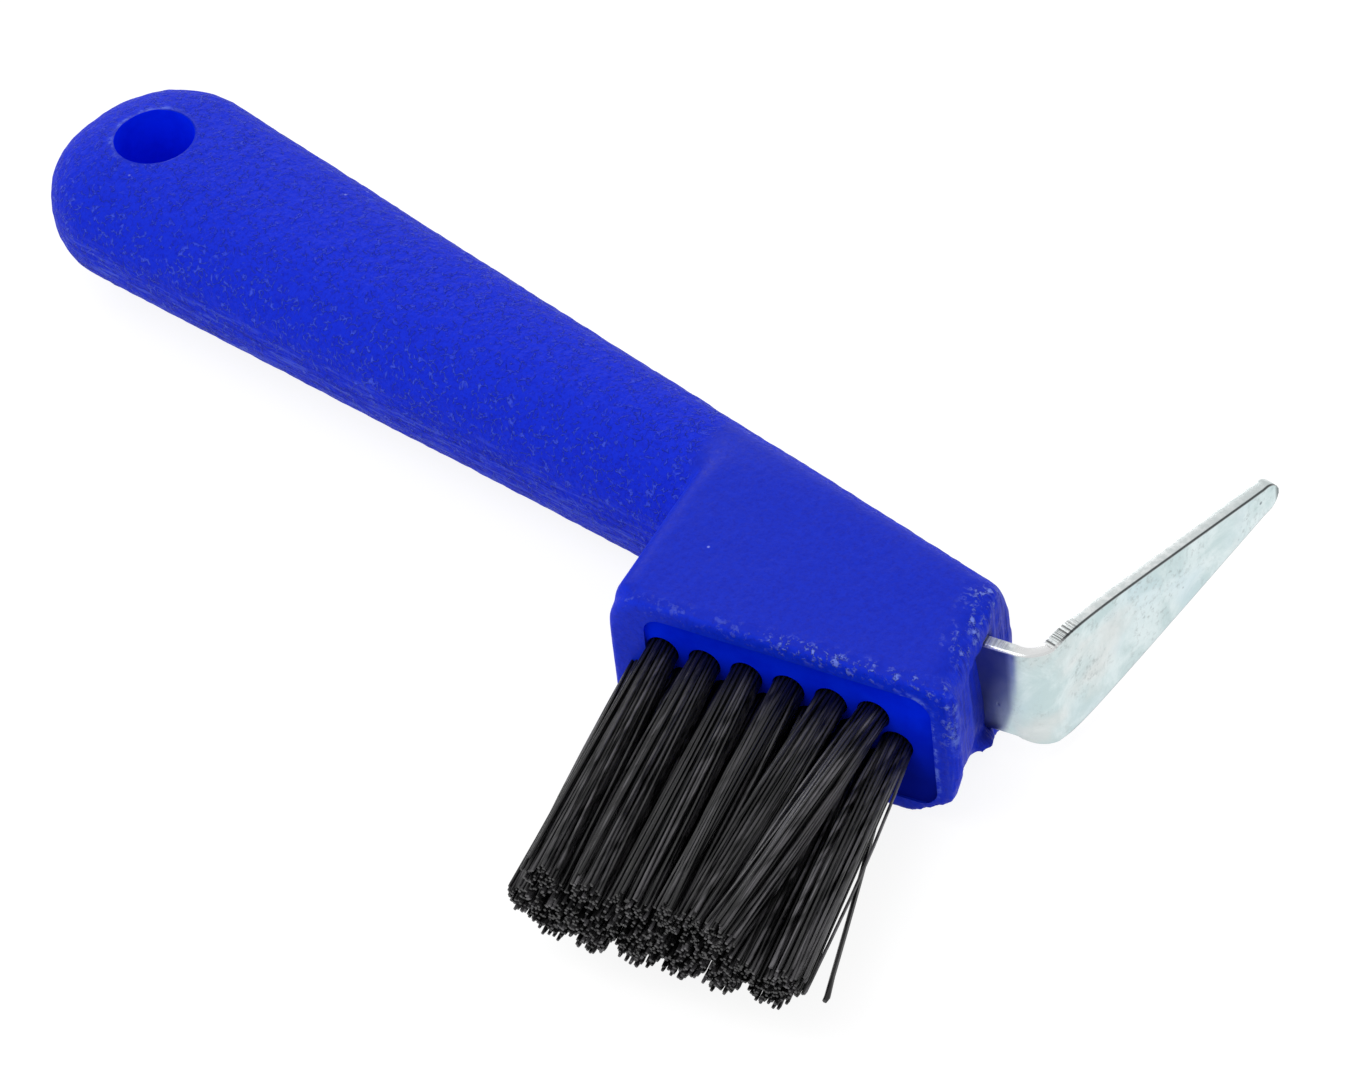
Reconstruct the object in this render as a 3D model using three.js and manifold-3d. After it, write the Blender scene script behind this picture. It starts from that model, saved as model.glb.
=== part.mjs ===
// Hoof pick with a bristle brush: a moulded plastic handle whose head holds the brush tufts
// on one side and a bent, tapered steel blade at its end.
// Millimetres, +Z up. The tool lies on its flat side. The origin is the centre of the head's
// lower flat side, and +X runs along the handle towards the head.
import * as THREE from "three";
import { mergeGeometries, mergeVertices } from "three/addons/utils/BufferGeometryUtils.js";
import Module from "manifold-3d";

const wasm = await Module();
wasm.setup();

// Clearances
const GAP = 0.3; // between two pieces that touch on the real tool
const OVERRUN = 1; // how far a cutting tool runs past what it cuts

// Head, in its own frame: x from the heel to the end face, y from the brush face to the back
const HEAD_LENGTH = 46.4;
const HEAD_THICKNESS = 23.4;
const HEAD_ANGLE = 15.3; // degrees between the brush face and the handle's axis
const HEEL_CORNER = 4; // of the rim round the brush face
const SHOULDER_CORNER = 2.6; // of the block behind the rim
const UPPER_END_CORNER = 2.8;
const LOWER_END_CORNER = 6.8;
const FACE_FILLET = 1.1;
const END_LEAN = 6; // degrees that the end face leans back from the brush face
const FLANGE_THICKNESS = 1.6; // rim round the brush face
const HEEL_OVERHANG = 0.6;
const END_OVERHANG = 0.7;
const FLANGE_SLOPE = 0.3;
const SPINE_LAP = 0.4; // how far the head's flat side runs past the handle's axis

// Handle, whose oval section changes evenly from the hang hole to the head's end
const HOLE_TO_HEEL = 97.4; // along the axis, from the hang hole to the heel
const AXIS_AT_HEEL = 28.2; // the axis's height over the brush face at the heel
const TAIL_LENGTH = 14.3; // from the hang hole's centre to the tail's end
const TAIL_WIDTH = 30.5;
const TAIL_THICKNESS = 18.8;
const NECK_WIDTH = 18.3;
const NECK_THICKNESS = 22.4;
const SPINE_END_WIDTH = 12.2;
const SPINE_END_CORNER = 1.8;
const TAIL_EXPONENT = 2.5; // 2 is an ellipse, and more is boxier
const NECK_EXPONENT = 2.1;
const TAIL_EDGE_EXPONENT = 2.2; // roundness of the tail seen from the side
const HANG_HOLE_DIAMETER = 10.6;
const HANG_HOLE_ROUNDING = 0.6;

// Brush: two outer rows of tufts, and a middle row between them with one tuft more. The rows
// take as many tufts as the recess has room for, which is six on this head.
const TUFT_PITCH = 5.6;
const ROW_PITCH = 4.1;
const ROWS_DROP = 0.6; // of the middle row under the head's middle
const FIRST_TUFT = 7.2; // from the heel to the first tuft of an outer row
const TUFT_DIAMETER = 3.7;
const TUFT_HOLE_BOTTOM = 9.6; // depth under the rim
const RECESS_DEPTH = 0.6;
const RECESS_RIM = 2.65; // rim above and below the recess
const RECESS_HEEL_RIM = 2.1;
const RECESS_END_RIM = 3.2;
const RECESS_HEEL_CORNER = 4.2;
const RECESS_END_CORNER = 2.2;
const SLICE_THICKNESS = 1.2;
const BRISTLE_LENGTH = 38.8; // from the rim to the tips
const HEEL_BRISTLE_LEAN = 5.6; // degrees towards the end face
const END_BRISTLE_LEAN = 6.4;
const TURN_START = 22; // from the heel to where the upper row starts to lean back
const UPPER_ROW_TURN = 14.4; // degrees that it would lean back by at the head's end
const LOWER_ROW_RISE = 1; // degrees that the row leans up
const UPPER_ROW_RISE = 0.4;
const BRISTLE_UNEVENNESS = 1.6;
const STRANDS_PER_TUFT = 25;
const STRAND_DIAMETER = 0.4;
const TIP_SPREAD_SHARE = 1.35; // a tuft's width at its tips over its width at the root
const ANCHOR_THICKNESS = 0.45;
const ANCHOR_WIDTH = 1.5;
const ANCHOR_BITE = 0.5; // how far an anchor's ends run into the hole's wall

// Blade
const BLADE_THICKNESS = 1.8;
const TANG_WIDTH = 15;
const BLADE_FROM_FACE = 13.45; // from the brush face to the strip's middle
const TANG_BURIED = 27;
const TANG_FREE = 4.5; // straight stretch outside the head
const BEND_ANGLE = 73.5;
const BEND_RADIUS = 1.7; // on the inside
const BLADE_LENGTH = 41.6; // straight stretch past the bend
const ROOT_WIDTH = 19; // of the tapering blade, carried back to the end of the bend
const ROOT_DROP = 1.45; // of the taper's middle there, under the tang's middle
const TIP_WIDTH = 4.2;
const TIP_RISE = 0.9; // of the tip's middle over the tang's middle
const FLARE_SHARE = 0.25; // how fast each side of the tang widens from the start of the bend
const FLARE_ROUNDING = 2; // how softly the flare turns into the taper
const EDGE_BREAK = 0.25;
const TANG_HOLE_DIAMETER = 4.4;
const TANG_HOLES = 2;

// Facets
const SECTION_POINTS = 44;
const TAIL_RINGS = 8;
const HANDLE_RINGS = 12;
const SPINE_RINGS = 6;
const ROUNDING_STEPS = 4;
const HOLE_SIDES = 12;
const HANG_HOLE_SIDES = 40;
const BEND_STEPS = 10;
const BLADE_STEPS = 9;
const STRAND_SIDES = 3;

const QUARTER = Math.PI / 2;
const headAngle = THREE.MathUtils.degToRad(HEAD_ANGLE);
const endLean = THREE.MathUtils.degToRad(END_LEAN);
const middle = HEAD_THICKNESS / 2;
const endFaceLength = HEAD_LENGTH - END_OVERHANG;

// The hang hole's centre in the head's frame, and the matrix from the handle's frame
// (x along the axis from the hang hole, y across it, z from the mid-plane) to the head's.
const holeX = -HOLE_TO_HEEL * Math.cos(headAngle);
const holeY = AXIS_AT_HEEL + HOLE_TO_HEEL * Math.sin(headAngle);
const fromHandle = new THREE.Matrix4()
  .makeTranslation(holeX, holeY, middle)
  .multiply(new THREE.Matrix4().makeRotationZ(-headAngle));

const lerp = THREE.MathUtils.lerp;

// A geometry as a solid that can be joined and cut.
function solid(geometry) {
  const bare = geometry.clone();
  bare.deleteAttribute("normal");
  bare.deleteAttribute("uv");
  const merged = mergeVertices(bare, GAP / 1000);
  return new wasm.Manifold(
    new wasm.Mesh({
      numProp: 3,
      vertProperties: merged.attributes.position.array,
      triVerts: new Uint32Array(merged.index.array),
    }),
  );
}

function meshOf(name, shape, material) {
  const made = shape.getMesh();
  const geometry = new THREE.BufferGeometry()
    .setAttribute("position", new THREE.BufferAttribute(made.vertProperties, 3))
    .setIndex(new THREE.BufferAttribute(made.triVerts, 1));
  const flat = geometry.toNonIndexed();
  flat.computeVertexNormals();
  const mesh = new THREE.Mesh(flat, material);
  mesh.name = name;
  return mesh;
}

// A closed skin over rings of points. Each ring runs anticlockwise seen from the last ring,
// and each end closes on a point of its own.
function loft(rings, firstPoint, lastPoint) {
  const count = rings[0].length;
  const points = [...rings.flat(), firstPoint, lastPoint];
  const first = rings.length * count;
  const last = first + 1;
  const index = [];
  for (let k = 0; k < count; k++) {
    const next = (k + 1) % count;
    for (let r = 0; r + 1 < rings.length; r++) {
      const low = r * count;
      const high = low + count;
      index.push(low + k, low + next, high + next);
      index.push(low + k, high + next, high + k);
    }
    index.push(first, next, k);
    index.push(last, (rings.length - 1) * count + k, (rings.length - 1) * count + next);
  }
  return new THREE.BufferGeometry().setFromPoints(points).setIndex(index).toNonIndexed();
}

function centreOf(ring) {
  const sum = new THREE.Vector3();
  ring.forEach((p) => sum.add(p));
  return sum.divideScalar(ring.length);
}

// How far a rounded edge of this radius draws in, at a distance from the face it ends on.
function drawIn(radius, distance) {
  const rest = Math.max(radius - distance, 0);
  return radius - Math.sqrt(radius * radius - rest * rest);
}

// One oval section of the handle in its own frame. A shear slants the section's plane.
function handleRing(x, halfWidth, halfThickness, exponent, shear) {
  const ring = [];
  for (let k = 0; k < SECTION_POINTS; k++) {
    const turn = (k / SECTION_POINTS) * 4 * QUARTER;
    const c = Math.cos(turn);
    const s = Math.sin(turn);
    const y = halfWidth * Math.sign(c) * Math.abs(c) ** (2 / exponent);
    const z = halfThickness * Math.sign(s) * Math.abs(s) ** (2 / exponent);
    ring.push(new THREE.Vector3(x + shear * y, y, z));
  }
  return ring;
}

// The handle runs from its rounded tail through the head as the head's rounded back.
function spine() {
  const tailHalf = TAIL_WIDTH / 2;
  const rings = [];
  for (let k = 1; k < TAIL_RINGS; k++) {
    const turn = (k / TAIL_RINGS) * QUARTER;
    const high = (1 - Math.cos(turn) ** TAIL_EDGE_EXPONENT) ** (1 / TAIL_EDGE_EXPONENT);
    const halfWidth = tailHalf * Math.sin(turn);
    const halfThickness = (TAIL_THICKNESS / 2) * high;
    const x = -TAIL_LENGTH * Math.cos(turn);
    rings.push(handleRing(x, halfWidth, halfThickness, TAIL_EXPONENT, 0));
  }
  for (let k = 0; k < HANDLE_RINGS; k++) {
    const share = k / HANDLE_RINGS;
    rings.push(
      handleRing(
        share * HOLE_TO_HEEL,
        lerp(TAIL_WIDTH, NECK_WIDTH, share) / 2,
        lerp(TAIL_THICKNESS, NECK_THICKNESS, share) / 2,
        lerp(TAIL_EXPONENT, NECK_EXPONENT, share),
        0,
      ),
    );
  }
  // Where the axis meets the leaning end face, and the slant of that face across the axis
  const along = Math.cos(headAngle) - Math.sin(headAngle) * Math.tan(endLean);
  const headStretch = (endFaceLength - AXIS_AT_HEEL * Math.tan(endLean)) / along;
  const endShear = -Math.tan(headAngle + endLean);
  const spineRing = (back, inset) => {
    const share = 1 - back / headStretch;
    return handleRing(
      HOLE_TO_HEEL + headStretch - back,
      lerp(NECK_WIDTH, SPINE_END_WIDTH, share) / 2 - inset,
      lerp(NECK_THICKNESS, HEAD_THICKNESS, Math.min(share * 3, 1)) / 2 - inset,
      lerp(NECK_EXPONENT, 2, share),
      endShear * share,
    );
  };
  for (let k = 0; k < SPINE_RINGS; k++) {
    const share = k / SPINE_RINGS;
    rings.push(spineRing(lerp(headStretch, SPINE_END_CORNER, share), 0));
  }
  for (let k = 0; k <= ROUNDING_STEPS; k++) {
    const turn = (k / ROUNDING_STEPS) * QUARTER;
    const back = SPINE_END_CORNER * (1 - Math.sin(turn));
    rings.push(spineRing(back, drawIn(SPINE_END_CORNER, back)));
  }
  const tail = new THREE.Vector3(-TAIL_LENGTH, 0, 0);
  return loft(rings, tail, centreOf(rings.at(-1))).applyMatrix4(fromHandle);
}

// A rounded rectangle in a plane across y, from heel to end and from side to side.
function blockRing(y, heel, end, heelCorner, inset) {
  const side = HEAD_THICKNESS / 2 - inset;
  const heelRadius = heelCorner - inset;
  const upperRadius = UPPER_END_CORNER - inset;
  const lowerRadius = LOWER_END_CORNER - inset;
  const corners = [
    [end - upperRadius, middle + side - upperRadius, upperRadius],
    [heel + heelRadius, middle + side - heelRadius, heelRadius],
    [heel + heelRadius, middle - side + heelRadius, heelRadius],
    [end - lowerRadius, middle - side + lowerRadius, lowerRadius],
  ];
  const ring = [];
  corners.forEach(([x, z, radius], corner) => {
    for (let k = 0; k <= ROUNDING_STEPS; k++) {
      const turn = (corner + k / ROUNDING_STEPS) * QUARTER;
      ring.push(new THREE.Vector3(x + radius * Math.cos(turn), y, z + radius * Math.sin(turn)));
    }
  });
  return ring.reverse();
}

// The head's block, from the brush face back to the handle's axis, with its rim.
function block() {
  const endAt = (y) => endFaceLength - y * Math.tan(endLean);
  const rings = [];
  for (let k = 0; k <= ROUNDING_STEPS; k++) {
    const turn = (k / ROUNDING_STEPS) * QUARTER;
    const y = FACE_FILLET * (1 - Math.cos(turn));
    const inset = drawIn(FACE_FILLET, y);
    rings.push(blockRing(y, inset, HEAD_LENGTH - inset, HEEL_CORNER, inset));
  }
  rings.push(blockRing(FLANGE_THICKNESS, 0, HEAD_LENGTH, HEEL_CORNER, 0));
  const behind = FLANGE_THICKNESS + FLANGE_SLOPE;
  const depth = AXIS_AT_HEEL + OVERRUN;
  rings.push(blockRing(behind, HEEL_OVERHANG, endAt(behind), SHOULDER_CORNER, 0));
  rings.push(blockRing(depth, HEEL_OVERHANG, endAt(depth), SHOULDER_CORNER, 0));
  const reach = HOLE_TO_HEEL + HEAD_LENGTH;
  const keep = new THREE.BoxGeometry(2 * reach, reach, 2 * HEAD_THICKNESS)
    .translate(HOLE_TO_HEEL, SPINE_LAP - reach / 2, 0)
    .applyMatrix4(fromHandle);
  return solid(loft(rings, centreOf(rings[0]), centreOf(rings.at(-1)))).intersect(solid(keep));
}

// Places of the tufts in the head's frame, row by row from the lower side up.
const rowSides = [-1, 0, 1];
const lastTuft = HEAD_LENGTH - RECESS_END_RIM - TUFT_DIAMETER / 2 - GAP; // of the middle row
const outerRowTufts = Math.floor((lastTuft - FIRST_TUFT + TUFT_PITCH / 2) / TUFT_PITCH);
const tuftRows = rowSides.map((side) => {
  const count = side === 0 ? outerRowTufts + 1 : outerRowTufts;
  const start = side === 0 ? FIRST_TUFT - TUFT_PITCH / 2 : FIRST_TUFT;
  return Array.from({ length: count }, (_, k) => ({
    x: start + k * TUFT_PITCH,
    z: middle - ROWS_DROP + side * ROW_PITCH,
  }));
});

// An upright round rod along y, at a place on the brush face.
function rodAcrossFace(place, radius, from, to, sides) {
  return new THREE.CylinderGeometry(radius, radius, to - from, sides).translate(
    place.x,
    (from + to) / 2,
    place.z,
  );
}

const pocketFloor = RECESS_DEPTH + SLICE_THICKNESS + GAP;
const recessSide = HEAD_THICKNESS / 2 - RECESS_RIM;

// The recess's outline drawn in by some room, as a prism between two depths.
function recessPrism(room, from, to) {
  const low = RECESS_HEEL_RIM + room;
  const high = HEAD_LENGTH - RECESS_END_RIM - room;
  const side = recessSide - room;
  const heel = RECESS_HEEL_CORNER - room;
  const end = RECESS_END_CORNER - room;
  const shape = new THREE.Shape();
  shape.moveTo(low + heel, -side);
  shape.lineTo(high - end, -side);
  shape.absarc(high - end, end - side, end, -QUARTER, 0, false);
  shape.absarc(high - end, side - end, end, 0, QUARTER, false);
  shape.absarc(low + heel, side - heel, heel, QUARTER, 2 * QUARTER, false);
  shape.absarc(low + heel, heel - side, heel, 2 * QUARTER, 3 * QUARTER, false);
  return new THREE.ExtrudeGeometry(shape, {
    depth: to - from,
    bevelEnabled: false,
    curveSegments: ROUNDING_STEPS,
  })
    .rotateX(QUARTER)
    .translate(0, to, middle);
}

// One anchor: a flat piece of wire pressed across the bottom of a tuft's hole.
const anchorLength = TUFT_DIAMETER + 2 * GAP + 2 * ANCHOR_BITE;
const anchorY = TUFT_HOLE_BOTTOM - GAP - ANCHOR_WIDTH / 2;
function anchor(place, room) {
  return new THREE.BoxGeometry(
    anchorLength + 2 * room,
    ANCHOR_WIDTH + 2 * room,
    ANCHOR_THICKNESS + 2 * room,
  ).translate(place.x, anchorY, place.z);
}

// The blade's path in its own plane: distance along the strip's middle to place and heading.
const endFaceAtBlade = endFaceLength - BLADE_FROM_FACE * Math.tan(endLean);
const bendAngle = THREE.MathUtils.degToRad(BEND_ANGLE);
const bendMiddle = BEND_RADIUS + BLADE_THICKNESS / 2;
const tangStart = endFaceAtBlade - TANG_BURIED;
const tangLength = TANG_BURIED + TANG_FREE;
const bendLength = bendMiddle * bendAngle;
function bladePath(distance) {
  const turned = THREE.MathUtils.clamp((distance - tangLength) / bendMiddle, 0, bendAngle);
  const straight = Math.min(distance, tangLength);
  const past = Math.max(distance - tangLength - bendLength, 0);
  const x = tangStart + straight + bendMiddle * Math.sin(turned) + past * Math.cos(turned);
  const rise = bendMiddle * (1 - Math.cos(turned)) + past * Math.sin(turned);
  return { x, y: BLADE_FROM_FACE + rise, heading: turned };
}

// The strip's cross-section at a distance along it, as a rectangle with broken edges.
function bladeRing(distance, centre, reach) {
  const { x, y, heading } = bladePath(distance);
  const half = BLADE_THICKNESS / 2;
  const low = centre - reach;
  const high = centre + reach;
  const b = EDGE_BREAK;
  const outline = [
    [-half, high - b],
    [-half, low + b],
    [-half + b, low],
    [half - b, low],
    [half, low + b],
    [half, high - b],
    [half - b, high],
    [-half + b, high],
  ];
  return outline.map(
    ([off, z]) =>
      new THREE.Vector3(x - off * Math.sin(heading), y + off * Math.cos(heading), middle + z),
  );
}

// The strip flares from the bend on, then tapers evenly to the tip, which is a half round.
function bladeStrip() {
  const bendStart = tangLength;
  const bendEnd = tangLength + bendLength;
  const tipHalf = TIP_WIDTH / 2;
  const taper = BLADE_LENGTH - tipHalf;
  const ringAt = (distance) => {
    const share = (distance - bendEnd) / taper;
    const turned = THREE.MathUtils.clamp((distance - bendStart) / bendLength, 0, 1);
    const centre = turned * lerp(-ROOT_DROP, TIP_RISE, Math.max(share, 0));
    const flare = TANG_WIDTH / 2 + FLARE_SHARE * Math.max(distance - bendStart, 0);
    const narrowing = lerp(ROOT_WIDTH, TIP_WIDTH, share) / 2;
    const reach = (flare + narrowing - Math.hypot(flare - narrowing, FLARE_ROUNDING)) / 2;
    return bladeRing(distance, centre, reach);
  };
  const rings = [ringAt(0), ringAt(TANG_BURIED)];
  for (let k = 0; k < BEND_STEPS; k++) {
    rings.push(ringAt(bendStart + (k / BEND_STEPS) * bendLength));
  }
  for (let k = 0; k <= BLADE_STEPS; k++) {
    rings.push(ringAt(bendEnd + (k / BLADE_STEPS) * taper));
  }
  for (let k = 1; k < ROUNDING_STEPS; k++) {
    const turn = (k / ROUNDING_STEPS) * QUARTER;
    const distance = bendEnd + taper + tipHalf * Math.sin(turn);
    rings.push(bladeRing(distance, TIP_RISE, tipHalf * Math.cos(turn)));
  }
  rings.push(bladeRing(bendEnd + BLADE_LENGTH, TIP_RISE, 2 * EDGE_BREAK));
  return loft(rings, centreOf(rings[0]), centreOf(rings.at(-1)));
}

// Holes through the buried tang, which the plastic fills.
const tangHolePlaces = Array.from({ length: TANG_HOLES }, (_, k) => ({
  x: tangStart + ((k + 1) / (TANG_HOLES + 1)) * TANG_BURIED,
  z: middle,
}));
function tangRod(place, radius) {
  const reach = BLADE_THICKNESS / 2 + OVERRUN;
  return rodAcrossFace(
    place,
    radius,
    BLADE_FROM_FACE - reach,
    BLADE_FROM_FACE + reach,
    2 * HOLE_SIDES,
  );
}

function blade() {
  return tangHolePlaces.reduce(
    (made, place) => made.subtract(solid(tangRod(place, TANG_HOLE_DIAMETER / 2))),
    solid(bladeStrip()),
  );
}

// The slot that the moulding leaves round the tang, open at the end face.
function tangSlot() {
  const from = tangStart - GAP;
  const to = endFaceAtBlade + END_OVERHANG + OVERRUN;
  return new THREE.BoxGeometry(
    to - from,
    BLADE_THICKNESS + 2 * GAP,
    TANG_WIDTH + 2 * GAP,
  ).translate((from + to) / 2, BLADE_FROM_FACE, middle);
}

// The hang hole's cutter: a cylinder that flares to a rounded edge at both faces.
function hangHole() {
  const radius = HANG_HOLE_DIAMETER / 2;
  const face = TAIL_THICKNESS / 2;
  const r = HANG_HOLE_ROUNDING;
  const profile = [new THREE.Vector2(0, -face - OVERRUN), new THREE.Vector2(radius + r, -face - OVERRUN)];
  for (let k = 0; k <= ROUNDING_STEPS; k++) {
    const turn = (k / ROUNDING_STEPS) * QUARTER;
    profile.push(new THREE.Vector2(radius + r - r * Math.sin(turn), -face + r - r * Math.cos(turn)));
  }
  const mirrored = profile.map((p) => new THREE.Vector2(p.x, -p.y)).reverse();
  return new THREE.LatheGeometry([...profile, ...mirrored], HANG_HOLE_SIDES)
    .rotateX(QUARTER)
    .applyMatrix4(fromHandle);
}

function handleBody() {
  let made = solid(spine()).add(block());
  const rounds = tuftRows
    .flat()
    .map((place) =>
      rodAcrossFace(place, TUFT_DIAMETER / 2 + GAP, 0, TUFT_HOLE_BOTTOM, HOLE_SIDES),
    );
  const notches = tuftRows.flat().map((place) => anchor(place, GAP));
  made = made.subtract(solid(recessPrism(0, -OVERRUN, pocketFloor)));
  rounds.forEach((cutter) => {
    made = made.subtract(solid(cutter));
  });
  notches.forEach((cutter) => {
    made = made.subtract(solid(cutter));
  });
  made = made.subtract(solid(tangSlot()));
  tangHolePlaces.forEach((place) => {
    made = made.add(solid(tangRod(place, TANG_HOLE_DIAMETER / 2 - GAP)));
  });
  return made.subtract(solid(hangHole()));
}

// One bristle: a thin prism from the backing to its tip.
function strand(root, tip) {
  const ringAt = (centre, radius) =>
    Array.from({ length: STRAND_SIDES }, (_, k) => {
      const turn = (k / STRAND_SIDES) * 4 * QUARTER;
      return new THREE.Vector3(
        centre.x + radius * Math.cos(turn),
        centre.y,
        centre.z + radius * Math.sin(turn),
      );
    });
  const radius = STRAND_DIAMETER / 2;
  const points = [...ringAt(root, radius), ...ringAt(tip, radius)];
  const index = [0, 2, 1];
  for (let k = 0; k < STRAND_SIDES; k++) {
    const next = (k + 1) % STRAND_SIDES;
    index.push(k, next, STRAND_SIDES + k);
    index.push(next, STRAND_SIDES + next, STRAND_SIDES + k);
  }
  index.push(STRAND_SIDES, STRAND_SIDES + 1, STRAND_SIDES + 2);
  return new THREE.BufferGeometry().setFromPoints(points).setIndex(index).toNonIndexed();
}

// How far a bristle leans towards the end face for each millimetre of its length. The last
// tufts of the upper row lean back towards the heel.
function bristleLean(x, side) {
  const base = lerp(HEEL_BRISTLE_LEAN, END_BRISTLE_LEAN, x / HEAD_LENGTH);
  const turned = Math.max(x - TURN_START, 0) / (HEAD_LENGTH - TURN_START);
  const back = side > 0 ? UPPER_ROW_TURN * turned : 0;
  return Math.tan(THREE.MathUtils.degToRad(base - back));
}

function rowRise(side) {
  const rises = [LOWER_ROW_RISE, 0, UPPER_ROW_RISE];
  return Math.tan(THREE.MathUtils.degToRad(rises[side + 1]));
}

// A row's bristles: each tuft's strands start on a spiral and spread in step.
const goldenTurn = Math.PI * (3 - Math.sqrt(5));
function rowStrands(row, side) {
  const rootReach = TUFT_DIAMETER / 2 - STRAND_DIAMETER / 2;
  const rootY = RECESS_DEPTH + SLICE_THICKNESS / 2;
  return row.flatMap((place, tuft) =>
    Array.from({ length: STRANDS_PER_TUFT }, (_, k) => {
      const reach = rootReach * Math.sqrt((k + 0.5) / STRANDS_PER_TUFT);
      const turn = k * goldenTurn + tuft;
      const dx = reach * Math.cos(turn);
      const dz = reach * Math.sin(turn);
      const drop = BRISTLE_LENGTH - (BRISTLE_UNEVENNESS * (1 + Math.sin(k * k + tuft))) / 2;
      const root = new THREE.Vector3(place.x + dx, rootY, place.z + dz);
      const tip = new THREE.Vector3(
        place.x + dx * TIP_SPREAD_SHARE + (rootY + drop) * bristleLean(place.x + dx, side),
        -drop,
        place.z + dz + (rootY + drop) * rowRise(side),
      );
      return strand(root, tip);
    }),
  );
}

// A row of tufts with the slice of backing that carries it and the roots in their holes.
function bristleRow(row, side) {
  const low = side < 0 ? -recessSide : (side - 0.5) * ROW_PITCH - ROWS_DROP + GAP / 2;
  const high = side > 0 ? recessSide : (side + 0.5) * ROW_PITCH - ROWS_DROP - GAP / 2;
  const band = new THREE.BoxGeometry(2 * HEAD_LENGTH, HEAD_THICKNESS, high - low).translate(
    HEAD_LENGTH / 2,
    0,
    middle + (low + high) / 2,
  );
  const backing = recessPrism(GAP, RECESS_DEPTH, RECESS_DEPTH + SLICE_THICKNESS);
  const rootEnd = anchorY - ANCHOR_WIDTH / 2 - GAP;
  const roots = row.map((place) =>
    rodAcrossFace(
      place,
      TUFT_DIAMETER / 2,
      RECESS_DEPTH + SLICE_THICKNESS / 2,
      rootEnd,
      HOLE_SIDES,
    ).toNonIndexed(),
  );
  return solid(backing)
    .intersect(solid(band))
    .add(solid(mergeGeometries(roots)))
    .add(solid(mergeGeometries(rowStrands(row, side))));
}

const plastic = new THREE.MeshStandardMaterial({ color: 0x2233c8, roughness: 0.5, metalness: 0 });
const bristle = new THREE.MeshStandardMaterial({ color: 0x161518, roughness: 0.4, metalness: 0 });
const zinc = new THREE.MeshStandardMaterial({ color: 0xd3dcdc, roughness: 0.35, metalness: 1 });
const wire = new THREE.MeshStandardMaterial({ color: 0xb9bcb8, roughness: 0.4, metalness: 1 });

const tool = new THREE.Group();
tool.add(meshOf("handle", handleBody(), plastic));
tool.add(meshOf("pick_blade", blade(), zinc));
const rowNames = ["bristle_row_lower", "bristle_row_middle", "bristle_row_upper"];
tuftRows.forEach((row, k) => {
  tool.add(meshOf(rowNames[k], bristleRow(row, rowSides[k]), bristle));
});
tuftRows.flat().forEach((place, k) => {
  const name = "tuft_anchor_" + String(k + 1).padStart(2, "0");
  tool.add(meshOf(name, solid(anchor(place, 0)), wire));
});

// Turn the tool so that its handle lies along X, and put the flat side's centre at the origin.
const centreX = HEAD_LENGTH / 2;
const centreY = (AXIS_AT_HEEL - centreX * Math.tan(headAngle)) / 2;
tool.rotation.z = headAngle;
tool.position.set(
  centreY * Math.sin(headAngle) - centreX * Math.cos(headAngle),
  -centreX * Math.sin(headAngle) - centreY * Math.cos(headAngle),
  0,
);
const part = new THREE.Group();
part.add(tool);

export default part;
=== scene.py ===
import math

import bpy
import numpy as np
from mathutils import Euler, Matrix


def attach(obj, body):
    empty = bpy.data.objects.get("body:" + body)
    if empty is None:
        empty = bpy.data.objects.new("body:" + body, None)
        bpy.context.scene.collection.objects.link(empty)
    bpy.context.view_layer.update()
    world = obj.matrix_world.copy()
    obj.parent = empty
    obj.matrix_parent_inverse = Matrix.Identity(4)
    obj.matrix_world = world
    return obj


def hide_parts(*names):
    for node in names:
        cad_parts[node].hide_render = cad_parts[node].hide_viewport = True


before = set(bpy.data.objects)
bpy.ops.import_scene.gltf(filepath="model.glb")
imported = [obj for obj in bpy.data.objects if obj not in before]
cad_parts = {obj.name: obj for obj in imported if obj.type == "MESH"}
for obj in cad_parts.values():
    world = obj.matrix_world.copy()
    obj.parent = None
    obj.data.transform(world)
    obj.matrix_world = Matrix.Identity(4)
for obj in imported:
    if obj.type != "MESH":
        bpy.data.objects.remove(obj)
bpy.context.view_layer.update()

# Hoof pick: the moulded plastic handle, the zinc plated blade, the brush's filaments and the
# anchors, on a plain pale floor. Sizes are millimetres in the head's own frame, which runs
# along x from the heel to the end face, along y from the brush face to the back, and along z
# from the flat side that the tool lies on. part_metres turns them into the part's frame.

MM = 0.001
GAP = 0.3
OVERRUN = 3
NOISE_CELLS = 64

# Head
HEAD_LENGTH = 46.4
HEAD_THICKNESS = 23.4
HEAD_ANGLE = math.radians(15.3)
HEEL_CORNER = 6.0
SHOULDER_CORNER = 2.6
UPPER_END_CORNER = 2.8
LOWER_END_CORNER = 6.8
FACE_FILLET = 1.1
END_LEAN = math.radians(6)
FLANGE_THICKNESS = 1.6
HEEL_OVERHANG = 0.6
END_OVERHANG = 0.7
FLANGE_SLOPE = 0.3
SPINE_LAP = 0.4

# Handle
HOLE_TO_HEEL = 97.4
AXIS_AT_HEEL = 28.2
TAIL_LENGTH = 14.3
TAIL_WIDTH = 30.5
TAIL_THICKNESS = 18.8
NECK_WIDTH = 18.3
NECK_THICKNESS = 22.4
SPINE_END_WIDTH = 12.2
SPINE_END_CORNER = 1.8
TAIL_EXPONENT = 2.5
NECK_EXPONENT = 2.1
TAIL_EDGE_EXPONENT = 2.2
HANG_HOLE_DIAMETER = 10.6
HANG_HOLE_ROUNDING = 0.6

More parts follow.
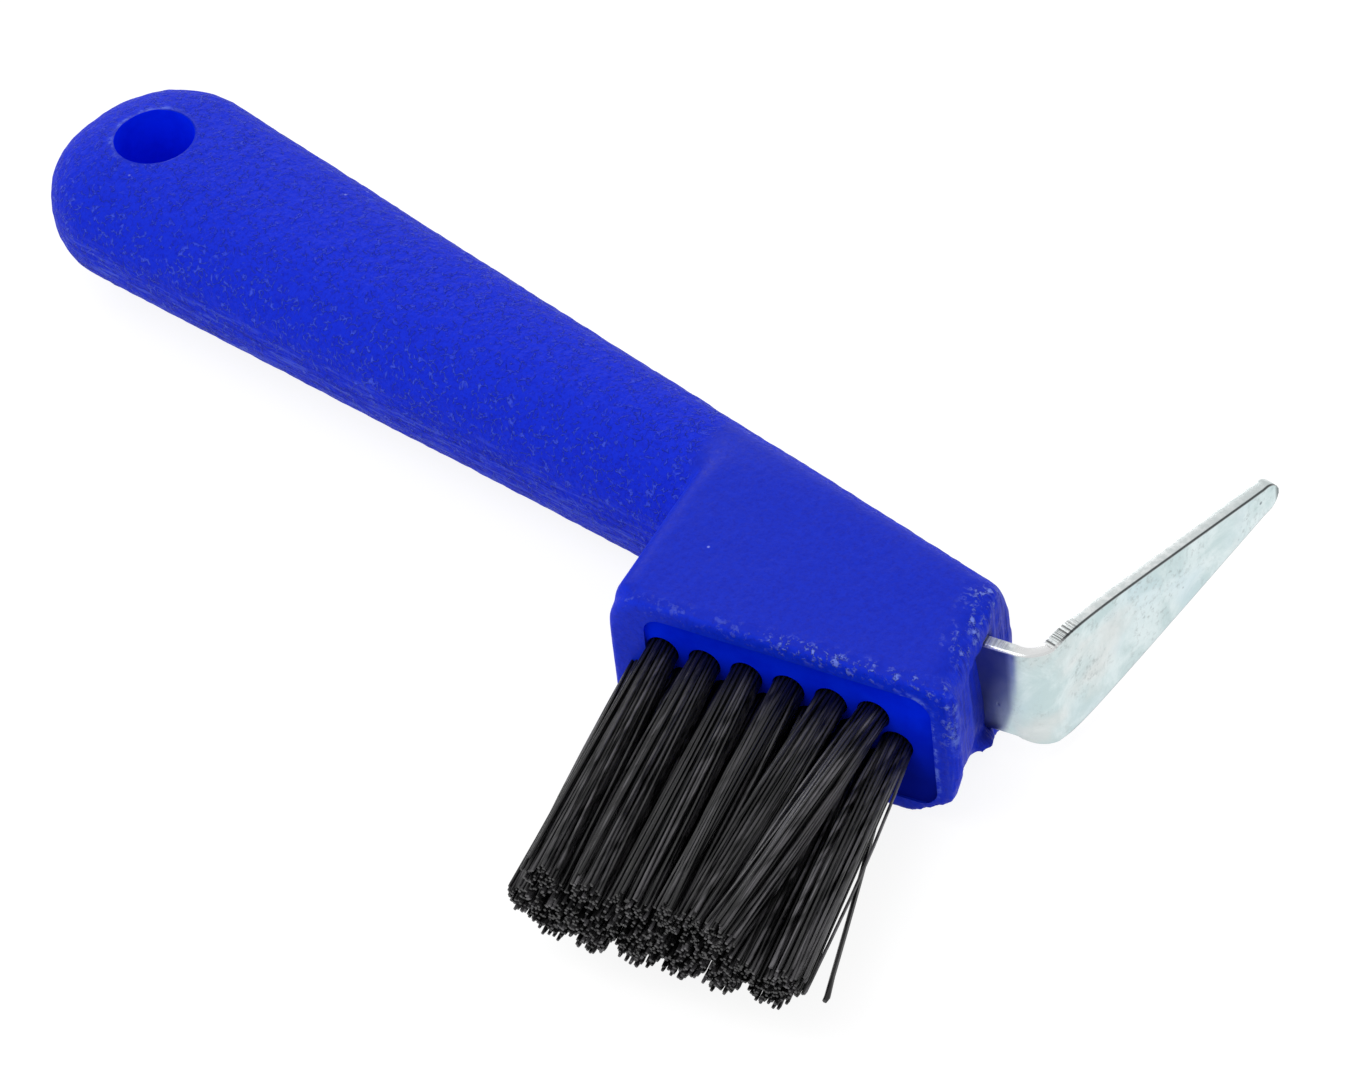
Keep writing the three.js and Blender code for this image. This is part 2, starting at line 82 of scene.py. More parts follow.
# Brush
TUFT_PITCH = 5.6
ROW_PITCH = 4.1
ROWS_DROP = 0.6
OUTER_ROW_TUFTS = 6
FIRST_TUFT = 7.2
TUFT_HOLE_DIAMETER = 4.3
TUFT_HOLE_BOTTOM = 9.6
ANCHOR_LENGTH = 5.3
ANCHOR_THICKNESS = 0.45
ANCHOR_WIDTH = 1.5
RECESS_DEPTH = 0.6
RECESS_RIM = 2.65
RECESS_HEEL_RIM = 5.2
RECESS_END_RIM = 3.2
RECESS_HEEL_CORNER = 2.5
RECESS_END_CORNER = 2.8
BRISTLE_LENGTH = 38.8
HEEL_BRISTLE_LEAN = 5.6
END_BRISTLE_LEAN = 6.4
TURN_START = 22.0
UPPER_ROW_TURN = 14.4
LOWER_ROW_RISE = 1.0
UPPER_ROW_RISE = 0.4

# Blade
BLADE_THICKNESS = 1.8
TANG_WIDTH = 15.0
BLADE_FROM_FACE = 13.45
TANG_BURIED = 27.0
TANG_FREE = 3.6
BEND_ANGLE = math.radians(73.5)
BEND_RADIUS = 2.4
BLADE_LENGTH = 41.3
ROOT_WIDTH = 19.0
ROOT_DROP = 1.45
TIP_WIDTH = 4.2
TIP_RISE = 0.9
FLARE_SHARE = 0.25
FLARE_ROUNDING = 2.0
EDGE_BREAK = 0.25
TANG_HOLE_DIAMETER = 4.4
TANG_HOLES = 2

MIDDLE = HEAD_THICKNESS / 2
END_FACE = HEAD_LENGTH - END_OVERHANG
QUARTER = math.pi / 2

# Where the strip leaves the head in x, and how far along the strip its bend and its tip are
TANG_OUT = END_FACE - BLADE_FROM_FACE * math.tan(END_LEAN)
TANG_START = TANG_OUT - TANG_BURIED
BEND_MIDDLE = BEND_RADIUS + BLADE_THICKNESS / 2
BEND_START = TANG_BURIED + TANG_FREE
BEND_LENGTH = BEND_MIDDLE * BEND_ANGLE
TAPER_LENGTH = BLADE_LENGTH - TIP_WIDTH / 2

# The head's frame in the part's: turned about z by the head's angle, with the origin of the
# part at the centre of the head's flat lower side.
flat_centre_x = HEAD_LENGTH / 2
flat_centre_y = (AXIS_AT_HEEL - flat_centre_x * math.tan(HEAD_ANGLE)) / 2
head_turn = np.array(
    [
        [math.cos(HEAD_ANGLE), -math.sin(HEAD_ANGLE), 0],
        [math.sin(HEAD_ANGLE), math.cos(HEAD_ANGLE), 0],
        [0, 0, 1],
    ]
)
head_place = -head_turn @ np.array([flat_centre_x, flat_centre_y, 0])
hang_hole = np.array(
    [
        -HOLE_TO_HEEL * math.cos(HEAD_ANGLE),
        AXIS_AT_HEEL + HOLE_TO_HEEL * math.sin(HEAD_ANGLE),
        MIDDLE,
    ]
)


def part_metres(points):
    """Points of the head's frame, in millimetres, as points of the part's frame in metres."""
    return (points @ head_turn.T + head_place) * MM


def head_millimetres(points):
    """The way back from the part's frame in metres to the head's in millimetres."""
    return (points / MM - head_place) @ head_turn


def from_handle(points):
    """Points measured along the handle's axis from the hang hole, in the head's frame."""
    return points @ head_turn + hang_hole


def to_handle(points):
    """Points of the head's frame, measured along the handle's axis from the hang hole."""
    return (points - hang_hole) @ head_turn.T


def lerp(low, high, share):
    return low + (high - low) * share


def smooth_step(low, high, value):
    """Rises from 0 at low to 1 at high along a cubic with level ends."""
    share = np.clip((value - low) / (high - low), 0, 1)
    return share * share * (3 - 2 * share)


def band(value, start, full, fade, end):
    """Rises from 0 at start to 1 at full, and falls back from 1 at fade to 0 at end."""
    return smooth_step(start, full, value) * (1 - smooth_step(fade, end, value))


def hill(value, middle, width):
    """A bell curve: e to the power of minus the square of the distance over the width."""
    return np.exp(-(((value - middle) / width) ** 2))


def lattice_noise(points, size, seed):
    """Noise between -1 and 1: random values on a lattice of the given step, which may differ
    along each axis, with a cubic blend between the eight corners of each cell."""
    count = NOISE_CELLS
    table = np.random.default_rng(seed).uniform(-1, 1, (count, count, count))
    scaled = points / np.asarray(size)
    cell = np.floor(scaled).astype(int)
    inner = scaled - cell
    blend = inner * inner * (3 - 2 * inner)
    total = np.zeros(len(points))
    for corner in np.ndindex(2, 2, 2):
        index = (cell + corner) % count
        weight = np.prod(np.where(np.array(corner) == 1, blend, 1 - blend), axis=1)
        total += weight * table[index[:, 0], index[:, 1], index[:, 2]]
    return total


def past_end_plane(points):
    """How far points are past the plane of the head's end face, along x."""
    plane = END_FACE - points[:, 1] * math.tan(END_LEAN)
    return points[:, 0] - plane


def past_hang_hole(points):
    """How far points are outside of the hang hole's wall."""
    along = to_handle(points)
    return np.hypot(along[:, 0], along[:, 1]) - HANG_HOLE_DIAMETER / 2


def draw_in(radius, distance):
    """How far a quarter round of this radius draws in, at a distance from the face it meets."""
    rest = np.maximum(radius - distance, 0)
    return radius - np.sqrt(radius * radius - rest * rest)


def closed_skin(rings):
    """Vertices and faces of a closed skin over rings of points, as an array of rings by points
    by three. Each end closes on its ring's middle. The rings run clockwise seen from the last."""
    count, sides, _ = rings.shape
    points = np.concatenate([rings.reshape(-1, 3), rings[:1].mean(1), rings[-1:].mean(1)])
    k = np.arange(sides)
    after = (k + 1) % sides
    r = np.arange(count - 1)[:, None] * sides
    walls = np.stack([r + k, r + sides + k, r + sides + after, r + after], -1).reshape(-1, 4)
    first = np.stack([np.full(sides, count * sides), k, after], -1)
    top = (count - 1) * sides
    last = np.stack([np.full(sides, count * sides + 1), top + after, top + k], -1)
    return points, walls.tolist() + first.tolist() + last.tolist()


def mesh_object(name, points, faces):
    """An object with its place in its mesh, from points of the head's frame."""
    mesh = bpy.data.meshes.new(name)
    mesh.from_pydata(part_metres(points), [], faces)
    mesh.validate()
    made = bpy.data.objects.new(name, mesh)
    bpy.context.collection.objects.link(made)
    return made


def joined(name, shapes):
    """One object from several closed skins."""
    points = []
    faces = []
    start = 0
    for shape_points, shape_faces in shapes:
        points.append(shape_points)
        faces += [[start + corner for corner in face] for face in shape_faces]
        start += len(shape_points)
    return mesh_object(name, np.concatenate(points), faces)


def settle(piece):
    """Applies a piece's modifiers and leaves the result as its mesh."""
    view = bpy.context.evaluated_depsgraph_get()
    made = bpy.data.meshes.new_from_object(piece.evaluated_get(view))
    piece.modifiers.clear()
    old = piece.data
    piece.data = made
    bpy.data.meshes.remove(old)


def combine(piece, name, shapes, operation):
    """Joins closed skins to a piece, or cuts them away."""
    tool = joined(name, shapes)
    step = piece.modifiers.new(operation, "BOOLEAN")
    step.operation = operation
    step.solver = "MANIFOLD"
    step.object = tool
    settle(piece)
    bpy.data.objects.remove(tool)


def vectors(items, name):
    """One vector for each of a mesh's vertices or faces."""
    values = np.empty(len(items) * 3)
    items.foreach_get(name, values)
    return values.reshape(-1, 3)


def points_and_normals(mesh):
    """A mesh's vertices and their normals in the head's frame."""
    points = head_millimetres(vectors(mesh.vertices, "co"))
    return points, vectors(mesh.vertex_normals, "vector") @ head_turn


def relax(mesh, rounds, strength):
    """Moves each vertex towards the mean of its neighbours, several times. The strength is
    one number, or one for each vertex."""
    strength = np.reshape(strength, (-1, 1))
    edges = np.empty(len(mesh.edges) * 2, dtype=int)
    mesh.edges.foreach_get("vertices", edges)
    near, far = edges.reshape(-1, 2).T
    points = vectors(mesh.vertices, "co")
    count = len(points)
    ends = np.concatenate([near, far])
    others = np.concatenate([far, near])
    valence = np.bincount(ends, minlength=count)[:, None]
    for _ in range(rounds):
        sums = np.stack([np.bincount(ends, points[others, axis], count) for axis in range(3)], 1)
        points += strength * (sums / valence - points)
    mesh.vertices.foreach_set("co", points.ravel())
    mesh.update()


def store(mesh, name, values):
    """Keeps one number for each vertex as an attribute that a material reads."""
    layer = mesh.attributes.new(name, "FLOAT", "POINT")
    layer.data.foreach_set("value", values.astype(np.float32))


def shade(mesh, sharp_angle):
    """Smooth shading, broken along edges that turn more than an angle."""
    mesh.shade_smooth()
    mesh.set_sharp_from_angle(angle=sharp_angle)


# The moulded handle

# How finely its skins are divided
OVAL_SIDES = 120
TAIL_RINGS = 26
SHAFT_RINGS = 60
BACK_RINGS = 30
CORNER_POINTS = 9
FILLET_RINGS = 7
BLOCK_RINGS = 8
HANG_HOLE_SIDES = 96
TUFT_HOLE_SIDES = 24
PEG_SIDES = 32

# The back is as thick as the head after a third of its length. The slot is a hair wider than
# the strip. Past the faces the hang hole's cutter goes on as a cone. The merged skin is smoothed
# all over, and eased where easing_share says.
BACK_RISE = 3
SLOT_ROOM = 0.04
CONE_RISE = 2
CONE_SPREAD = 2.2 * HANG_HOLE_ROUNDING
SKIN_VOXEL = 0.42
SMOOTHING_ROUNDS = 3
SMOOTHING_STRENGTH = 0.5
EASING_ROUNDS = 60
EASING_STRENGTH = 0.6
SHARP_EDGE = math.radians(38)

# The lining's bounds: how far past the walls and the floors of the holes it still counts, and
# from where on along x and y
HOLE_MARGIN = 0.04
RECESS_MARGIN = 0.05
FLOOR_MARGIN = 0.1
LINING_HEEL = 2
LINING_LIP = 0.12

# The low end corner's trim. Each row gives y, then x and z where the cut starts, and x and z
# where its slope changes.
TRIM_ROWS = [
    (-2, 46.5, 9.9, 44.9, 4.0),
    (1.6, 46.5, 9.9, 44.9, 4.0),
    (3, 45.5, 8.0, 43.9, 3.6),
    (9.5, 44.8, 6.6, 43.1, 2.9),
]
TRIM_FOOT = (38.6, -0.2)
TRIM_OUTSIDE = 50
TRIM_UNDER = -3

# The flash under the tang
FLASH_HEEL = 40
FLASH_LOW = 2.9
FLASH_HIGH = 4.3
FLASH_SIDES = (9.8, 12.9)
FLASH_PROUD = 0.4

# How high each kind of unevenness stands on the moulding, or how deep it is
WAVE = 0.05
SHORT_WAVE = 0.02
KNOBS = 0.07
BEADS = 0.1
FINE_BEADS = 0.06
LUMPS = 0.14
STREAKS = 0.13
FINE_STREAKS = 0.09
SUNK_END = 0.3
END_GROOVE = 1.05
FLASH_REACH = 0.1
FLASH_TEETH = 0.7
FLASH_DROOP = 0.5

# The shares below run from 0 to 1. The numbers in their bands, hills and steps are places in
# the head's frame in millimetres, or how much a normal turns to an axis.


def oval(along, half_width, half_thickness, exponent, shear):
    """Sections of the grip: y and z follow a cosine and a sine raised to 2 / exponent, so an
    exponent of 2 gives an ellipse and more is boxier. A shear slants each section's plane."""
    turn = np.linspace(0, 4 * QUARTER, OVAL_SIDES, endpoint=False)
    along, half_width, half_thickness, exponent, shear = (
        np.atleast_1d(value)[:, None]
        for value in np.broadcast_arrays(along, half_width, half_thickness, exponent, shear)
    )
    y = half_width * np.sign(np.cos(turn)) * np.abs(np.cos(turn)) ** (2 / exponent)
    z = half_thickness * np.sign(np.sin(turn)) * np.abs(np.sin(turn)) ** (2 / exponent)
    return np.stack([along + shear * y, y, z], -1)


def grip():
    """The handle from its rounded tail through the head's back. The tail's sections follow a
    quarter turn, the shaft narrows evenly, and the last stretch slants with the end face."""
    turn = np.linspace(0, QUARTER, TAIL_RINGS)[1:-1]
    high = (1 - np.cos(turn) ** TAIL_EDGE_EXPONENT) ** (1 / TAIL_EDGE_EXPONENT)
    tail = oval(
        -TAIL_LENGTH * np.cos(turn),
        TAIL_WIDTH / 2 * np.sin(turn),
        TAIL_THICKNESS / 2 * high,
        TAIL_EXPONENT,
        0,
    )
    share = np.linspace(0, 1, SHAFT_RINGS, endpoint=False)
    shaft = oval(
        share * HOLE_TO_HEEL,
        lerp(TAIL_WIDTH, NECK_WIDTH, share) / 2,
        lerp(TAIL_THICKNESS, NECK_THICKNESS, share) / 2,
        lerp(TAIL_EXPONENT, NECK_EXPONENT, share),
        0,
    )
    slant = math.cos(HEAD_ANGLE) - math.sin(HEAD_ANGLE) * math.tan(END_LEAN)
    stretch = (END_FACE - AXIS_AT_HEEL * math.tan(END_LEAN)) / slant
    corner = SPINE_END_CORNER * (1 - np.sin(np.linspace(0, QUARTER, BLOCK_RINGS)))
    back = np.linspace(stretch, SPINE_END_CORNER, BACK_RINGS, endpoint=False)
    back = np.concatenate([back, corner])
    inset = draw_in(SPINE_END_CORNER, back)
    share = 1 - back / stretch
    head = oval(
        HOLE_TO_HEEL + stretch - back,
        lerp(NECK_WIDTH, SPINE_END_WIDTH, share) / 2 - inset,
        lerp(NECK_THICKNESS, HEAD_THICKNESS, np.minimum(share * BACK_RISE, 1)) / 2 - inset,
        lerp(NECK_EXPONENT, 2, share),
        -math.tan(HEAD_ANGLE + END_LEAN) * share,
    )
    points, faces = closed_skin(np.concatenate([tail, shaft, head])[:, ::-1])
    return from_handle(points), faces


def rounded_box_ring(y, heel, end, corners, inset, side):
    """A rounded rectangle across y. Corners are the radii of the upper end, the upper heel,
    the lower heel and the lower end."""
    ring = []
    half = side - inset
    middles = [(end, half), (heel, half), (heel, -half), (end, -half)]
    signs = [(-1, -1), (1, -1), (1, 1), (-1, 1)]
    for k, ((x, z), (sx, sz), radius) in enumerate(zip(middles, signs, corners)):
        r = max(radius - inset, EDGE_BREAK)
        turn = np.linspace(0, QUARTER, CORNER_POINTS) + k * QUARTER
        corner_x = x + sx * r + r * np.cos(turn)
        corner_z = MIDDLE + z + sz * r + r * np.sin(turn)
        ring.append(np.stack([corner_x, np.zeros_like(turn), corner_z], -1))
    ring = np.concatenate(ring)
    ring[:, 1] = y(ring[:, 0]) if callable(y) else y
    return ring


def head_block():
    """The head from the brush face back to the handle's axis: a rounded rectangle whose edge
    starts with a quarter round, a thin rim that stands proud, and a block that leans back."""
    rim = (UPPER_END_CORNER, HEEL_CORNER, HEEL_CORNER, LOWER_END_CORNER)
    block = (UPPER_END_CORNER, SHOULDER_CORNER, SHOULDER_CORNER, LOWER_END_CORNER)
    rings = []
    for turn in np.linspace(0, QUARTER, FILLET_RINGS):
        y = FACE_FILLET * (1 - math.cos(turn))
        inset = draw_in(FACE_FILLET, y)
        rings.append(rounded_box_ring(y, inset, HEAD_LENGTH - inset, rim, inset, MIDDLE))
    rings.append(rounded_box_ring(FLANGE_THICKNESS, 0, HEAD_LENGTH, rim, 0, MIDDLE))
    behind = FLANGE_THICKNESS + FLANGE_SLOPE
    axis = SPINE_LAP / math.cos(HEAD_ANGLE) + AXIS_AT_HEEL
    for share in np.linspace(0, 1, BLOCK_RINGS):
        def depth(x):
            return lerp(behind, axis - x * math.tan(HEAD_ANGLE), share)

        end = END_FACE - depth(END_FACE) * math.tan(END_LEAN)
        rings.append(rounded_box_ring(depth, HEEL_OVERHANG, end, block, 0, MIDDLE))
    return closed_skin(np.array(rings))


def low_corner_cutter():
    """Trims the head's low end corner to a slanting edge, up to where the flash starts."""
    outside, under = TRIM_OUTSIDE, TRIM_UNDER
    foot_x, foot_z = TRIM_FOOT
    rings = []
    for y, x, z, knee_x, knee_z in TRIM_ROWS:
        xs = [outside, x, knee_x, foot_x, foot_x, outside]
        zs = [z, z, knee_z, foot_z, under, under]
        rings.append(np.stack([xs, np.full(len(xs), y), zs], -1))
    return closed_skin(np.array(rings))


def flash_lump():
    """Plastic that has squeezed out under the tang and fills the head's low corner there."""
    out = TANG_OUT + FLASH_PROUD
    xs = [out, FLASH_HEEL, FLASH_HEEL, out]
    zs = [FLASH_HIGH, FLASH_HIGH, FLASH_LOW, FLASH_LOW]
    rings = [np.stack([xs, np.full(len(xs), y), zs], -1) for y in FLASH_SIDES]
    return closed_skin(np.array(rings))


def end_face_share(points):
    """How much a point lies on the head's end face."""
    return smooth_step(-1.6, -0.4, past_end_plane(points))


def end_groove_share(points):
    """Where the end face is sunk in front of the tang, deepest near the tang's upper edge."""
    _, y, z = points.T
    deeper = lerp(0.5, 1, smooth_step(9, 18, z))
    return band(y, 7.2, 10.4, 13.6, 14.8) * band(z, 3.6, 5.2, 17.8, 19.2) * deeper


def end_painted_shade_share(points):
    """Painted shade: the dark strip of the end face in front of the tang, over the tang's whole
    width.
    """
    _, y, z = points.T
    return end_face_share(points) * band(y, 7.6, 11.6, 14.2, 15.4) * band(z, 2.0, 5, 18.6, 20)


def top_corner_share(points):
    """The lumpy stretch of the edge between the head's upper side and its end face."""
    _, y, z = points.T
    corner = hill(past_end_plane(points), -1.3, 1.7)
    return corner * smooth_step(20.5, 22.8, z) * smooth_step(4, 9, y)


def roughen(mesh):
    """The moulding's unevenness, added along the normals: a slight waviness all over, knobs
    where the skin is grained, a beaded upper edge at the rim, and lumps at the end's upper
    corner. The end face is drawn down in streaks, sunk by the tang and ragged under it."""
    points, normals = points_and_normals(mesh)
    x, y, z = points.T

    def noise(size, seed):
        return lattice_noise(points, size, seed)

    wave = WAVE * noise(9, 1) + SHORT_WAVE * noise(3.1, 2)
    knobs = KNOBS * grain_share(points, normals) * noise(0.95, 8)
    rim_edge = hill(y, 1.1, 0.9) * smooth_step(21.5, 22.8, z)
    beads = rim_edge * lerp(0.5, 1, smooth_step(14, 27, x))
    beads = beads * (BEADS * noise(1.2, 3) + FINE_BEADS * noise(0.8, 4))
    lumps = LUMPS * top_corner_share(points) * noise(1.1, 9)
    end = end_face_share(points)
    streaks = end * (STREAKS * noise((2.0, 0.8, 7), 5) + FINE_STREAKS * noise(1.3, 6))
    facing = end * np.clip(normals[:, 0], 0, 1)
    sunk = SUNK_END * band(y, 4.3, 5.4, 13.6, 15.5) * (1 - smooth_step(18.5, 20, z))
    sunk = facing * (sunk + END_GROOVE * end_groove_share(points))
    flash = hill(z, 3.4, 0.9) * band(y, 8.6, 10.2, 12.6, 13.6)
    ragged = flash * facing * (FLASH_REACH + FLASH_TEETH * noise(1.4, 7))
    shift = (wave + knobs + beads + lumps + streaks)[:, None] * normals
    shift[:, 0] += ragged - sunk
    shift[:, 2] -= FLASH_DROOP * flash * np.clip(-normals[:, 2], 0, 1) * noise(1.2, 10)
    mesh.vertices.foreach_set("co", part_metres(points + shift).ravel())
    mesh.update()


def easing_share(points):
    """Where the merged skin is eased most: along the line where the head's flat sides pass
    into its round back. The rim round the brush face keeps its edges."""
    x, y, z = points.T
    axis = AXIS_AT_HEEL - x * math.tan(HEAD_ANGLE)
    back = hill(y - axis, 0.5, 3.5) * smooth_step(-4, 1, x)
    return back * smooth_step(7.5, 9.5, np.abs(z - MIDDLE)) * (1 - end_face_share(points))


def recess_cutter():
    """A shallow tray with a small round between its wall and its floor."""
    corners = (RECESS_END_CORNER, RECESS_HEEL_CORNER, RECESS_HEEL_CORNER, RECESS_END_CORNER)
    side = MIDDLE - RECESS_RIM
    end = HEAD_LENGTH - RECESS_END_RIM
    rings = [rounded_box_ring(-OVERRUN, RECESS_HEEL_RIM, end, corners, 0, side)]
    for turn in np.linspace(0, QUARTER, FILLET_RINGS - 2):
        y = RECESS_DEPTH - EDGE_BREAK * (1 - math.sin(turn))
        inset = EDGE_BREAK * (1 - math.cos(turn))
        rings.append(rounded_box_ring(y, RECESS_HEEL_RIM + inset, end - inset, corners, inset, side))
    return closed_skin(np.array(rings))


def row_places(side):
    """Middles of a row's tufts in the head's x and z. The side is -1, 0 or 1 from the lower
    row up, and the middle row has one tuft more."""
    count = OUTER_ROW_TUFTS + (side == 0)
    start = FIRST_TUFT - TUFT_PITCH / 2 * (side == 0)
    z = MIDDLE - ROWS_DROP + side * ROW_PITCH
    return [(start + k * TUFT_PITCH, z) for k in range(count)]


def rod_across_face(x, z, profile, sides):
    """A round rod along y. The profile is a list of pairs of y and radius."""
    turn = np.linspace(0, 4 * QUARTER, sides, endpoint=False)
    rings = [
        np.stack([x + r * np.cos(turn), np.full(sides, y), z + r * np.sin(turn)], -1)
        for y, r in profile
    ]
    return closed_skin(np.array(rings))


def box_skin(middle, size):
    """A plain box."""
    half = np.array(size) / 2
    square = np.array([(1, 1), (-1, 1), (-1, -1), (1, -1)])
    ring = np.stack([square[:, 0], np.zeros(4), square[:, 1]], -1)
    rings = np.array([ring * half + (0, sign * half[1], 0) for sign in (-1, 1)])
    return closed_skin(rings + np.array(middle))


def hang_hole_cutter():
    """A cylinder across the handle's tail that flares to a rounded edge at both faces."""
    turn = np.linspace(0, QUARTER, FILLET_RINGS)
    radius = HANG_HOLE_DIAMETER / 2
    face = TAIL_THICKNESS / 2
    r = HANG_HOLE_ROUNDING
    flare = np.stack([-face + r - r * np.cos(turn), radius + r - r * np.sin(turn)], -1)
    lower = np.concatenate([[[-face - CONE_RISE, radius + CONE_SPREAD]], flare])
    profile = np.concatenate([lower, (lower * (-1, 1))[::-1]])
    around = np.linspace(0, 4 * QUARTER, HANG_HOLE_SIDES, endpoint=False)
    heights = np.repeat(profile[:, :1], len(around), 1)
    rings = np.stack([profile[:, 1:] * np.cos(around), profile[:, 1:] * np.sin(around), heights], -1)
    points, faces = closed_skin(rings[:, ::-1])
    return from_handle(points), faces


def tang_slot_cutter():
    """The slot that the moulding leaves round the tang, a hair wider than the strip."""
    low = TANG_START - GAP
    high = TANG_OUT + OVERRUN + 1
    size = (high - low, BLADE_THICKNESS + 2 * SLOT_ROOM, TANG_WIDTH + 2 * SLOT_ROOM)
    return box_skin(((low + high) / 2, BLADE_FROM_FACE, MIDDLE), size)


def tang_rods(radius):
    """Rods across the strip through the tang's holes."""
    ends = [(BLADE_FROM_FACE + side * BLADE_THICKNESS, radius) for side in (-1, 1)]
    return [
        rod_across_face(TANG_START + k / (TANG_HOLES + 1) * TANG_BURIED, MIDDLE, ends, PEG_SIDES)
        for k in range(1, TANG_HOLES + 1)
    ]


def make_handle():
    """The moulding: the grip and the head's block merged into one skin and eased, roughened,
    and then cut by the recess, the tufts' holes, the tang's slot and the hang hole."""
    handle = joined("moulded_handle", [head_block()])
    combine(handle, "low_corner_cutter", [low_corner_cutter()], "DIFFERENCE")
    combine(handle, "grip", [grip()], "UNION")
    combine(handle, "flash_lump", [flash_lump()], "UNION")
    merge = handle.modifiers.new("merge", "REMESH")
    merge.mode = "VOXEL"
    merge.voxel_size = SKIN_VOXEL * MM
    settle(handle)
    relax(handle.data, SMOOTHING_ROUNDS, SMOOTHING_STRENGTH)
    points, _ = points_and_normals(handle.data)
    relax(handle.data, EASING_ROUNDS, EASING_STRENGTH * easing_share(points))
    roughen(handle.data)
    places = [place for side in (-1, 0, 1) for place in row_places(side)]
    hole = [(0, TUFT_HOLE_DIAMETER / 2), (TUFT_HOLE_BOTTOM, TUFT_HOLE_DIAMETER / 2)]
    holes = [rod_across_face(x, z, hole, TUFT_HOLE_SIDES) for x, z in places]
    notch = (ANCHOR_LENGTH + 2 * GAP, ANCHOR_WIDTH + 2 * GAP, ANCHOR_THICKNESS + 2 * GAP)
    notch_y = TUFT_HOLE_BOTTOM - notch[1] / 2
    notches = [box_skin((x, notch_y, z), notch) for x, z in places]
    combine(handle, "recess_cutter", [recess_cutter()], "DIFFERENCE")
    combine(handle, "hole_cutter", holes, "DIFFERENCE")
    combine(handle, "notch_cutter", notches, "DIFFERENCE")
    combine(handle, "slot_cutter", [tang_slot_cutter()], "DIFFERENCE")
    combine(handle, "tang_pegs", tang_rods(TANG_HOLE_DIAMETER / 2 - GAP), "UNION")
    combine(handle, "hang_hole_cutter", [hang_hole_cutter()], "DIFFERENCE")
    shade(handle.data, SHARP_EDGE)
    points, normals = points_and_normals(handle.data)
    shares = {
        "grain": grain_share(points, normals),
        "wear": wear_share(points),
        "end_face": end_face_share(points),
        # Painted shade on the end face in front of the tang
        "end_painted_shade": end_painted_shade_share(points),
        # Pale edges: partly wear and partly a painted highlight
        "worn_and_highlit_edge": worn_and_highlit_edge_share(points),
        # Painted highlight on the grain's ridges, weaker on faces that look up
        "painted_ridge_highlight": 1 - 0.6 * smooth_step(0.7, 0.95, normals[:, 2]),
        # Where painted sheen streaks lie: the grip's underside and back
        "drawn": sheen_streak_share(points, normals),
        # Painted light and shade: the head's upward and downward faces take a darker blue than its
        # other faces
        "painted_facing_shade": smooth_step(0.6, 0.9, np.abs(normals[:, 2])),
        # Painted shade for the lining: low down in the recess and the tufts' holes
        "painted_low_shade": (points[:, 0] > 0) * (1 - smooth_step(6, 17, points[:, 2])),
    }
    for name, values in shares.items():
        store(handle.data, name, values)
    return handle


def faces_inside(mesh):
    """Which faces line the hang hole, the recess and the tufts' holes."""
    centres = head_millimetres(vectors(mesh.polygons, "center"))
    x, y, z = centres.T
    hole = past_hang_hole(centres) < HOLE_MARGIN
    side = MIDDLE - RECESS_RIM + RECESS_MARGIN
    end = HEAD_LENGTH - RECESS_END_RIM + RECESS_MARGIN
    recess = (x > LINING_HEEL) & (x < end) & (np.abs(z - MIDDLE) < side)
    return hole | (recess & (y > LINING_LIP) & (y < TUFT_HOLE_BOTTOM + FLOOR_MARGIN))


def grain_share(points, normals):
    """Where the skin has the mould's leather grain: all of the grip and the head's round back,
    fading out at the flat sides, the heel and the brush side, and inside the hang hole."""
    x, y, _ = points.T
    flat = smooth_step(0.62, 0.93, np.abs(normals[:, 2]))
    side_on = smooth_step(-1.5, 1.2, x) * flat
    axis = AXIS_AT_HEEL - x * math.tan(HEAD_ANGLE)
    brush_side = smooth_step(-0.6, 0.6, x) * (1 - smooth_step(-3, 1, y - axis))
    hole = smooth_step(0.2, 0.9, past_hang_hole(points))
    return (1 - side_on) * (1 - brush_side) * hole * (1 - end_face_share(points))


def sheen_streak_share(points, normals):
    """Where the grain runs in long streaks, in its bump and in painted pale and dark sheen: along the
    grip's underside below its parting line, and along its back."""
    under = 1 - smooth_step(-0.1, 0.3, normals[:, 2])
    back = smooth_step(0.35, 0.6, normals[:, 1]) * (1 - smooth_step(0.66, 0.9, normals[:, 2]))
    return np.maximum(under, back) * grain_share(points, normals)


def wear_share(points):
    """Where the moulding is scuffed: along the rim's upper edge towards the end, round the
    brush face's end, on the end face's corners and along its edge with the head's flat sides."""
    x, y, z = points.T
    upper = smooth_step(20.9, 22.2, z)
    rim_edge = hill(y, 0.5, 0.9) * upper * lerp(0.25, 1, smooth_step(16, 28, x))
    outer = hill(x, HEAD_LENGTH - 0.6, 1.1) * (1 - smooth_step(2, 3.5, y))
    outer = outer * smooth_step(11, 16, z)
    edge = end_face_share(points) * smooth_step(19.5, 22.5, z) * smooth_step(2, 12, y)
    return np.clip(rim_edge + outer + 0.7 * edge + top_corner_share(points), 0, 1)


